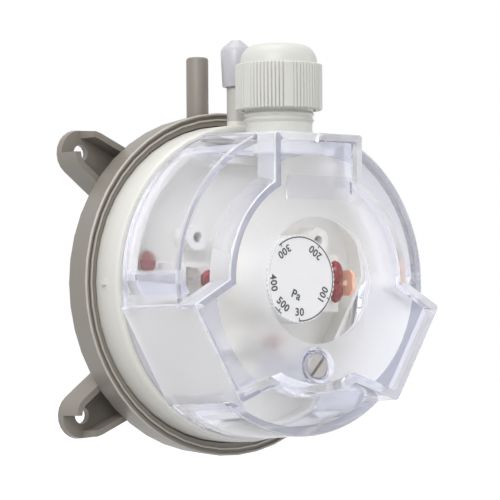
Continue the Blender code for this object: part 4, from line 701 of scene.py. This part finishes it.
def outer_stations():
    """Outer skin from rim to front: outline, depth and the material of the faces up to that outline."""
    stations = [(cover_outline(DRUM_RIM, DRUM_RIM, FLAT_RIM, HALF_RIM), RIM_DEPTH, None)]
    # The rim's band is painted reflection of the wall, and the line behind it painted highlight
    belt = [(FROST_BACK - FROST_LINE_BACK, COVER_WALL_REFLECTION), (FROST_BACK + FROST_LINE_FRONT, COVER_HIGHLIGHT)]
    for depth, made in belt:
        share, flat, half = section(depth)
        drum = DRUM_RIM + (depth - RIM_DEPTH) / (LEDGE_DEPTH - RIM_DEPTH) * (DRUM_LEDGE - DRUM_RIM)
        stations.append((cover_outline(drum, drum, flat, half, share), depth, made))
    share, flat, half = section(LEDGE_DEPTH)
    # Past its first step, each rounded edge below gets the painted highlight
    for i, (inset, setback) in enumerate(edge_steps(EDGE_ROUND)):
        outline = cover_outline(DRUM_LEDGE - inset, DRUM_LEDGE - inset, flat, half, share)
        stations.append((outline, LEDGE_DEPTH - setback, COVER_HIGHLIGHT if i else None))
    # The strip round the ledge's edge is painted reflection of the wall
    drum = DRUM_LEDGE - EDGE_ROUND - LEDGE_STRIP
    stations.append((cover_outline(drum, drum, flat, half, share), LEDGE_DEPTH, COVER_WALL_REFLECTION))
    for i, (inset, setback) in enumerate(edge_steps(CORNER_ROUND)):
        outline = cover_outline(PLATEAU_BACK + CORNER_ROUND - setback, DRUM_LEDGE, flat, half, share)
        stations.append((outline, LEDGE_DEPTH + inset, COVER_HIGHLIGHT if i else COVER_LEDGE))
    for i, (inset, setback) in enumerate(edge_steps(FRONT_ROUND)):
        stations.append((front_outline(inset), FRONT_DEPTH - setback, COVER_HIGHLIGHT if i else None))
    # The front's border, painted face by face as reflection, shade or light by the way it looks
    stations.append((front_outline(FRONT_ROUND + FRONT_STRIP), FRONT_DEPTH, COVER_EDGE_SHADE))
    return stations


def inner_stations():
    """Inner skin, a wall's thickness inside the outer one."""
    share, flat, half = section(LEDGE_DEPTH)
    flat -= FLAT_WALL
    half -= WALL
    rim = DRUM_RIM - WALL
    drum = DRUM_LEDGE - WALL
    front = cover_outline(PLATEAU_FRONT - WALL, drum, FLAT_FRONT - FLAT_WALL, HALF_FRONT - WALL, 1.0)
    return [
        (cover_outline(rim, rim, FLAT_RIM - FLAT_WALL, HALF_RIM - WALL), RIM_DEPTH, None),
        (cover_outline(drum, drum, flat, half, share), LEDGE_DEPTH - WALL, None),
        (cover_outline(PLATEAU_BACK - WALL, drum, flat, half, share), LEDGE_DEPTH - WALL, None),
        (front, FRONT_DEPTH - WALL, None),
    ]


# The cover's faces and their materials

def cover_shell():
    """Both skins, joined at the rim. Faces that get no material here keep the index 0."""
    bm = bmesh.new()
    rims = []
    for stations in (outer_stations(), inner_stations()):
        rings = [[bm.verts.new(at_depth(x, z, depth)) for x, z in outline] for outline, depth, _ in stations]
        for first, second, (_, depth, made) in zip(rings, rings[1:], stations[1:]):
            before = len(bm.faces)
            bridge(bm, [first, second], close=False)
            bm.faces.ensure_lookup_table()
            for i, face in enumerate(bm.faces[before:]):
                chosen = made
                # The way a face of the front's border looks picks its painted shade, painted reflection or
                # painted light
                if made is COVER_EDGE_SHADE:
                    chosen = strip_material(first[i].co, first[i].co - second[i].co)
                if depth < LEDGE_DEPTH + BEYOND and on_arm(face.calc_center_median()):
                    chosen = None
                face.material_index = COVER_MATERIALS.index(chosen) if chosen else 0
        bm.faces.new(rings[-1])
        rims.append(rings[0])
    bridge(bm, rims, close=False)
    bmesh.ops.remove_doubles(bm, verts=bm.verts, dist=WELD)
    cover = new_object("clear_cover", bm)
    for made in COVER_MATERIALS:
        cover.data.materials.append(made)
    return cover


def strip_material(place, outward):
    """The front's border, a painted reflection of the wall: darkest, as painted shade, where it looks left,
    but not low down, and paler, as painted light, where it looks right.
    """
    lean = outward.x / outward.length
    if lean < STRIP_LEFT:
        return COVER_EDGE_SHADE if place.z > STRIP_TURN * MM else COVER_WALL_REFLECTION
    return COVER_WALL_REFLECTION if lean < STRIP_RIGHT else COVER_EDGE_LIGHT


def on_arm(place):
    """Whether a point of the outer skin lies on the flat or the side walls of an arm."""
    spot = Vector((place.x, place.z)) / MM
    for angle in FLAT_ANGLES:
        out, across = axes_of(angle)
        if spot.dot(out) > ARM_START and abs(spot.dot(across)) < HALF_RIM + SLACK:
            return True
    return False


def is_arm_side(spot, looks):
    """Whether a face belongs to a side wall or corner of an arm, or to a rib beside it."""
    for angle in FLAT_ANGLES:
        out, across = axes_of(angle)
        distance = spot.dot(out)
        sideways = abs(spot.dot(across))
        turned = abs(looks.dot(across))
        side = HALF_FRONT - WALL - SIDE_SLACK < sideways < HALF_RIM + SLACK and turned > LOOKS_SIDEWAYS
        at_corner = distance > FLAT_FRONT - CORNER_REACH and sideways > HALF_FRONT - CORNER_REACH
        corner = at_corner and turned > CORNER_TURN
        rib = RIB_NEAR - SLACK < distance < RIB_FAR + SLACK and RIB_START - SLACK < sideways < RIB_END + SLACK
        if distance > ARM_START and (side or corner or rib):
            return True
    return False


def cover_zone(face):
    """The material of one face of the cover, by where it lies and which way it looks."""
    spot = Vector((face.center.x, face.center.z)) / MM
    looks = Vector((face.normal.x, face.normal.z))
    depth = -face.center.y / MM
    forward = -face.normal.y
    upright = abs(forward) < LOOKS_ACROSS
    outward = looks.dot(spot) > 0.0
    if (spot - Vector((0.0, SCREW_Z))).length < WELL_ZONE and depth < FRONT_DEPTH - HAIR:
        return COVER_WELL
    if forward > LOOKS_AHEAD:
        if abs(depth - FRONT_DEPTH) < NEAR:
            return COVER_FRONT
        if abs(depth - LEDGE_DEPTH) < NEAR:
            return COVER_LEDGE
        in_window = depth > FRONT_DEPTH - WINDOW_SLACK and spot.length < WINDOW_RADIUS
        return COVER_WINDOW if in_window else COVER_CLEAR
    if forward < -LOOKS_AHEAD and depth > LEDGE_DEPTH and spot.length < DRUM_RIM - WALL:
        return COVER_BACK
    if depth > RIM_DEPTH + BEYOND and upright and is_arm_side(spot, looks):
        return COVER_SIDE
    inner_wall = depth > LEDGE_DEPTH - WALL and spot.length < PLATEAU_BACK and not outward
    if spot.x > MILKY_WALL_START and inner_wall:
        return COVER_SIDE
    if outward and depth < LEDGE_DEPTH and spot.length > DRUM_LEDGE - DRUM_SLACK:
        return COVER_DRUM
    if outward and upright and lies_on_a_flat(spot, looks):
        return COVER_FLAT
    return COVER_CLEAR


def lies_on_a_flat(spot, looks):
    outs = [axes_of(angle)[0] for angle in FLAT_ANGLES]
    placed = max(spot.dot(out) for out in outs) > FLAT_FRONT - FLAT_SLACK
    return placed and max(looks.dot(out) for out in outs) > LOOKS_OUT


def cover_additions():
    """The screw's pillar, and a rib on each side of each arm."""
    skin = FRONT_DEPTH - WALL / 2.0
    pillar = [(0.0, PILLAR_BACK), (PILLAR_RADIUS, PILLAR_BACK), (PILLAR_RADIUS, PILLAR_NECK),
              (PILLAR_HEAD_RADIUS, PILLAR_HEAD), (PILLAR_HEAD_RADIUS, skin), (0.0, skin)]
    added = [lathe("pillar", pillar, 0.0, SCREW_Z)]
    corners = [(RIB_NEAR, RIB_START), (RIB_FAR, RIB_START), (RIB_FAR, RIB_END), (RIB_NEAR, RIB_END)]
    for angle in FLAT_ANGLES:
        out, across = axes_of(angle)
        for side in (-1, 1):
            outline = [tuple(out * distance + across * side * offset) for distance, offset in corners]
            added.append(outline_solid("rib", outline, RIB_BACK, LEDGE_DEPTH - WALL / 2.0))
    return added


def cover_cuts():
    """The recess, the screw's well and hole, the gland's hole and the clear window."""
    proud = FRONT_DEPTH + CUT_PROUD
    corners = [(-RECESS_HALF, RECESS_BOTTOM), (RECESS_HALF, RECESS_BOTTOM),
               (RECESS_HALF, RECESS_TOP), (-RECESS_HALF, RECESS_TOP)]
    recess = outline_solid("recess", corners, FRONT_DEPTH - RECESS_DEPTH, proud)
    profile = [(0.0, WELL_FLOOR), (WELL_RADIUS, WELL_FLOOR), (WELL_RADIUS, WELL_SHOULDER),
               (WELL_MOUTH_RADIUS, FRONT_DEPTH), (WELL_MOUTH_RADIUS, proud), (0.0, proud)]
    well = lathe("well", profile, 0.0, SCREW_Z)
    hole = disc_solid("hole", 0.0, SCREW_Z, SCREW_HOLE_RADIUS, SCREW_HOLE_BACK, FRONT_DEPTH, 40)
    gland = disc_solid("gland_hole", 0.0, 0.0, GLAND_HOLE_RADIUS, GLAND_HOLE_BOTTOM, GLAND_HOLE_TOP, 64)
    gland.data.transform(Matrix.Rotation(math.radians(-90.0), 4, "X"))
    gland.data.transform(Matrix.Translation((0.0, -GLAND_DEPTH * MM, 0.0)))
    window = disc_solid("window", 0.0, 0.0, WINDOW_RADIUS, FRONT_DEPTH - WINDOW_DEPTH, proud, 96)
    return [recess, well, hole, gland, window]


def make_cover():
    cover = cover_shell()
    boolean(cover, cover_additions(), "UNION")
    boolean(cover, cover_cuts(), "DIFFERENCE")
    for face in cover.data.polygons:
        if face.material_index == 0:
            face.material_index = COVER_MATERIALS.index(cover_zone(face))
    smooth(cover.data, COVER_SHARP_ANGLE)
    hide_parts("cover")
    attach(cover, "lid")


# Print on the dial

def dial_text(text, angle, radius, size, tilt=None):
    """Text on the knob's face, at an angle and radius; feet point outward unless a tilt is given."""
    curve = bpy.data.curves.new("dial_" + text, "FONT")
    curve.body = text
    curve.size = size * MM
    curve.align_x = "CENTER"
    curve.align_y = "CENTER"
    curve.extrude = INK_DEPTH * MM
    curve.offset = INK_WEIGHT * MM
    curve.space_character = LETTER_SPACE
    item = bpy.data.objects.new("dial_" + text, curve)
    bpy.context.scene.collection.objects.link(item)
    turn = math.radians(angle + 90.0) if tilt is None else math.radians(tilt)
    x = radius * math.cos(math.radians(angle)) * MM
    z = (DIAL_Z + radius * math.sin(math.radians(angle))) * MM
    flat = Matrix.Rotation(math.radians(90.0), 4, "X")
    item.matrix_world = Matrix.Translation((x, DIAL_FACE, z)) @ Matrix.Rotation(-turn, 4, "Y") @ flat
    item.data.materials.append(INK)
    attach(item, "knob")


def dial_arc(name, radius, width, start, end):
    """Flat printed arc on the knob's face."""
    bm = bmesh.new()
    steps = max(4, int(abs(end - start) / 2.0))
    rows = []
    for i in range(steps + 1):
        angle = math.radians(start + (end - start) * i / steps)
        rows.append([bm.verts.new((r * math.cos(angle) * MM, DIAL_FACE, (DIAL_Z + r * math.sin(angle)) * MM))
                     for r in (radius - width / 2.0, radius + width / 2.0)])
    for a, b in zip(rows, rows[1:]):
        bm.faces.new([a[0], a[1], b[1], b[0]])
    item = new_object(name, bm)
    item.data.materials.append(INK)
    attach(item, "knob")


def make_dial():
    for text, angle in DIAL_NUMBERS.items():
        dial_text(text, angle, NUMBER_RADIUS, NUMBER_SIZE)
    dial_text("Pa", UNIT_ANGLE, UNIT_RADIUS, UNIT_SIZE, tilt=UNIT_TILT)
    for name, (start, end) in SCALE_STRETCHES.items():
        dial_arc(name, SCALE_RADIUS, SCALE_WIDTH, start, end)
    marked = [angle for text, angle in DIAL_NUMBERS.items() if text != NUMBER_WITHOUT_TICK]
    for i, angle in enumerate(marked):
        dial_arc("dial_tick_%d" % i, TICK_RADIUS, TICK_LENGTH,
                 angle - TICK_HALF_ANGLE, angle + TICK_HALF_ANGLE)


# The gland's nut

def nut_outline():
    """Plan of the nut's barrel: fields of broad ribs with narrow grooves, and a smooth stretch after each."""
    points = []
    pitch = NUT_FIELD_ANGLE / NUT_GROOVES
    for field in range(NUT_FIELDS):
        start = NUT_FIRST_FIELD - NUT_FIELD_ANGLE / 2.0 + field * 360.0 / NUT_FIELDS
        for i in range(NUT_GROOVES):
            for share, depth in NUT_GROOVE_SHAPE:
                points.append((NUT_RADIUS - NUT_GROOVE_DEPTH * depth, start + (i + share) * pitch))
        for step in range(NUT_SMOOTH_STEPS):
            points.append((NUT_RADIUS, start + NUT_FIELD_ANGLE + NUT_SMOOTH_START + step * NUT_SMOOTH_STEP))
    return [(r * math.cos(math.radians(a)), r * math.sin(math.radians(a))) for r, a in points]


def nut_barrel():
    """The ribbed barrel, with a small chamfer at both ends."""
    bm = bmesh.new()
    rings = []
    for shrink, height in ((NUT_EDGE, NUT_BOTTOM), (0.0, NUT_BOTTOM + NUT_EDGE),
                           (0.0, NUT_SHOULDER - NUT_EDGE), (NUT_EDGE, NUT_SHOULDER)):
        scale = (NUT_RADIUS - shrink) / NUT_RADIUS
        rings.append([bm.verts.new(Vector((x * scale, y * scale, height)) * MM) for x, y in nut_outline()])
    bridge(bm, rings)
    return new_object("ribbed_nut", bm)


def nut_dome():
    foot = NUT_SHOULDER - NUT_DOME_OVERLAP
    dome = [(0.0, foot), (NUT_DOME_RADIUS, foot)]
    for i in range(NUT_DOME_STEPS + 1):
        angle = math.pi / 2.0 * i / NUT_DOME_STEPS
        radius = NUT_TOP_RADIUS + (NUT_DOME_RADIUS - NUT_TOP_RADIUS) * math.cos(angle)
        dome.append((radius, NUT_SHOULDER + (NUT_TOP - NUT_SHOULDER) * math.sin(angle)))
    dome.append((0.0, NUT_TOP))
    return upright_lathe("dome", dome)


def nut_cavity():
    cavity = [(0.0, NUT_BOTTOM - CUT_PROUD), (NUT_BORE, NUT_BOTTOM - CUT_PROUD), (NUT_BORE, NUT_BORE_TOP),
              (NUT_NECK, NUT_NECK_BOTTOM), (NUT_NECK, NUT_NECK_TOP), (NUT_HOLE_RADIUS, NUT_TOP - NUT_LIP),
              (NUT_HOLE_RADIUS, NUT_TOP + CUT_PROUD), (0.0, NUT_TOP + CUT_PROUD)]
    return upright_lathe("cavity", cavity)


def make_nut():
    nut = nut_barrel()
    boolean(nut, [nut_dome()], "UNION")
    boolean(nut, [nut_cavity()], "DIFFERENCE")
    nut.data.transform(Matrix.Translation((0.0, -GLAND_DEPTH * MM, 0.0)))
    smooth(nut.data, SHARP_ANGLE)
    nut.data.materials.clear()
    nut.data.materials.append(GLAND)
    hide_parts("gland_nut")
    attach(nut, "nut")


# Stage, lights and camera

def make_floor():
    bm = bmesh.new()
    bmesh.ops.create_grid(bm, x_segments=1, y_segments=1, size=FLOOR_HALF)
    floor = new_object("floor", bm)
    floor.location.z = FLOOR_Z
    made, tree, shader = material("floor")
    shader.inputs["Base Color"].default_value = (0.50, 0.50, 0.50, 1.0)
    shader.inputs["Roughness"].default_value = 0.8
    shine_white(tree, shader.outputs["BSDF"])
    floor.data.materials.append(made)


def make_world():
    """Soft light from all round, which looks white where it is seen directly."""
    world = bpy.data.worlds.new("studio")
    bpy.context.scene.world = world
    world.use_nodes = True
    tree = world.node_tree
    soft = tree.nodes["Background"]
    soft.inputs["Color"].default_value = (0.97, 0.985, 1.0, 1.0)
    soft.inputs["Strength"].default_value = SOFT_LIGHT
    white = tree.nodes.new("ShaderNodeBackground")
    white.inputs["Color"].default_value = (1.0, 1.0, 1.0, 1.0)
    mix = tree.nodes.new("ShaderNodeMixShader")
    tree.links.new(seen_directly(tree), mix.inputs["Fac"])
    tree.links.new(soft.outputs["Background"], mix.inputs[1])
    tree.links.new(white.outputs["Background"], mix.inputs[2])
    tree.links.new(mix.outputs["Shader"], tree.nodes["World Output"].inputs["Surface"])


def seen_directly(tree):
    """1 for camera, glossy and transmission rays, else 0."""
    path = tree.nodes.new("ShaderNodeLightPath")
    total = path.outputs["Is Camera Ray"]
    for name in ("Is Glossy Ray", "Is Transmission Ray"):
        add = tree.nodes.new("ShaderNodeMath")
        add.operation = "ADD"
        add.use_clamp = True
        tree.links.new(total, add.inputs[0])
        tree.links.new(path.outputs[name], add.inputs[1])
        total = add.outputs["Value"]
    return total


def shine_white(tree, surface):
    """Part of the floor's brightness comes from a white glow that only direct views get."""
    glow = tree.nodes.new("ShaderNodeEmission")
    glow.inputs["Color"].default_value = (1.0, 1.0, 1.0, 1.0)
    glow.inputs["Strength"].default_value = FLOOR_GLOW
    nothing = tree.nodes.new("ShaderNodeEmission")
    nothing.inputs["Strength"].default_value = 0.0
    pick = tree.nodes.new("ShaderNodeMixShader")
    tree.links.new(seen_directly(tree), pick.inputs["Fac"])
    tree.links.new(nothing.outputs["Emission"], pick.inputs[1])
    tree.links.new(glow.outputs["Emission"], pick.inputs[2])
    total = tree.nodes.new("ShaderNodeAddShader")
    tree.links.new(surface, total.inputs[0])
    tree.links.new(pick.outputs["Shader"], total.inputs[1])
    tree.links.new(total.outputs["Shader"], tree.nodes["Material Output"].inputs["Surface"])


def make_lights():
    for name, place, size, power in LAMPS:
        light = bpy.data.lights.new(name, "AREA")
        light.shape = "RECTANGLE"
        light.size = size
        light.size_y = size
        light.energy = power
        item = bpy.data.objects.new(name, light)
        item.location = place
        item.rotation_euler = (LIGHT_TARGET - place).to_track_quat("-Z", "Y").to_euler()
        bpy.context.scene.collection.objects.link(item)


def make_camera():
    camera = bpy.data.cameras.new("camera")
    camera.lens = CAMERA_LENS
    camera.sensor_width = 36.0
    camera.clip_start = 0.05
    camera.clip_end = 50.0
    item = bpy.data.objects.new("camera", camera)
    bpy.context.scene.collection.objects.link(item)
    yaw = math.radians(CAMERA_YAW)
    pitch = math.radians(CAMERA_PITCH)
    forward = Vector((math.sin(yaw) * math.cos(pitch), math.cos(yaw) * math.cos(pitch), math.sin(pitch)))
    turn = forward.to_track_quat("-Z", "Y").to_matrix().to_4x4()
    item.matrix_world = Matrix.Translation(CAMERA_PLACE) @ turn @ Matrix.Rotation(CAMERA_ROLL, 4, "Z")
    bpy.context.scene.camera = item


shading = round_shading()
dress_nodes(shading)
make_range_spring(shading)
make_cover()
make_dial()
make_nut()
make_floor()
make_world()
make_lights()
make_camera()
bpy.context.scene.view_settings.view_transform = "Standard"
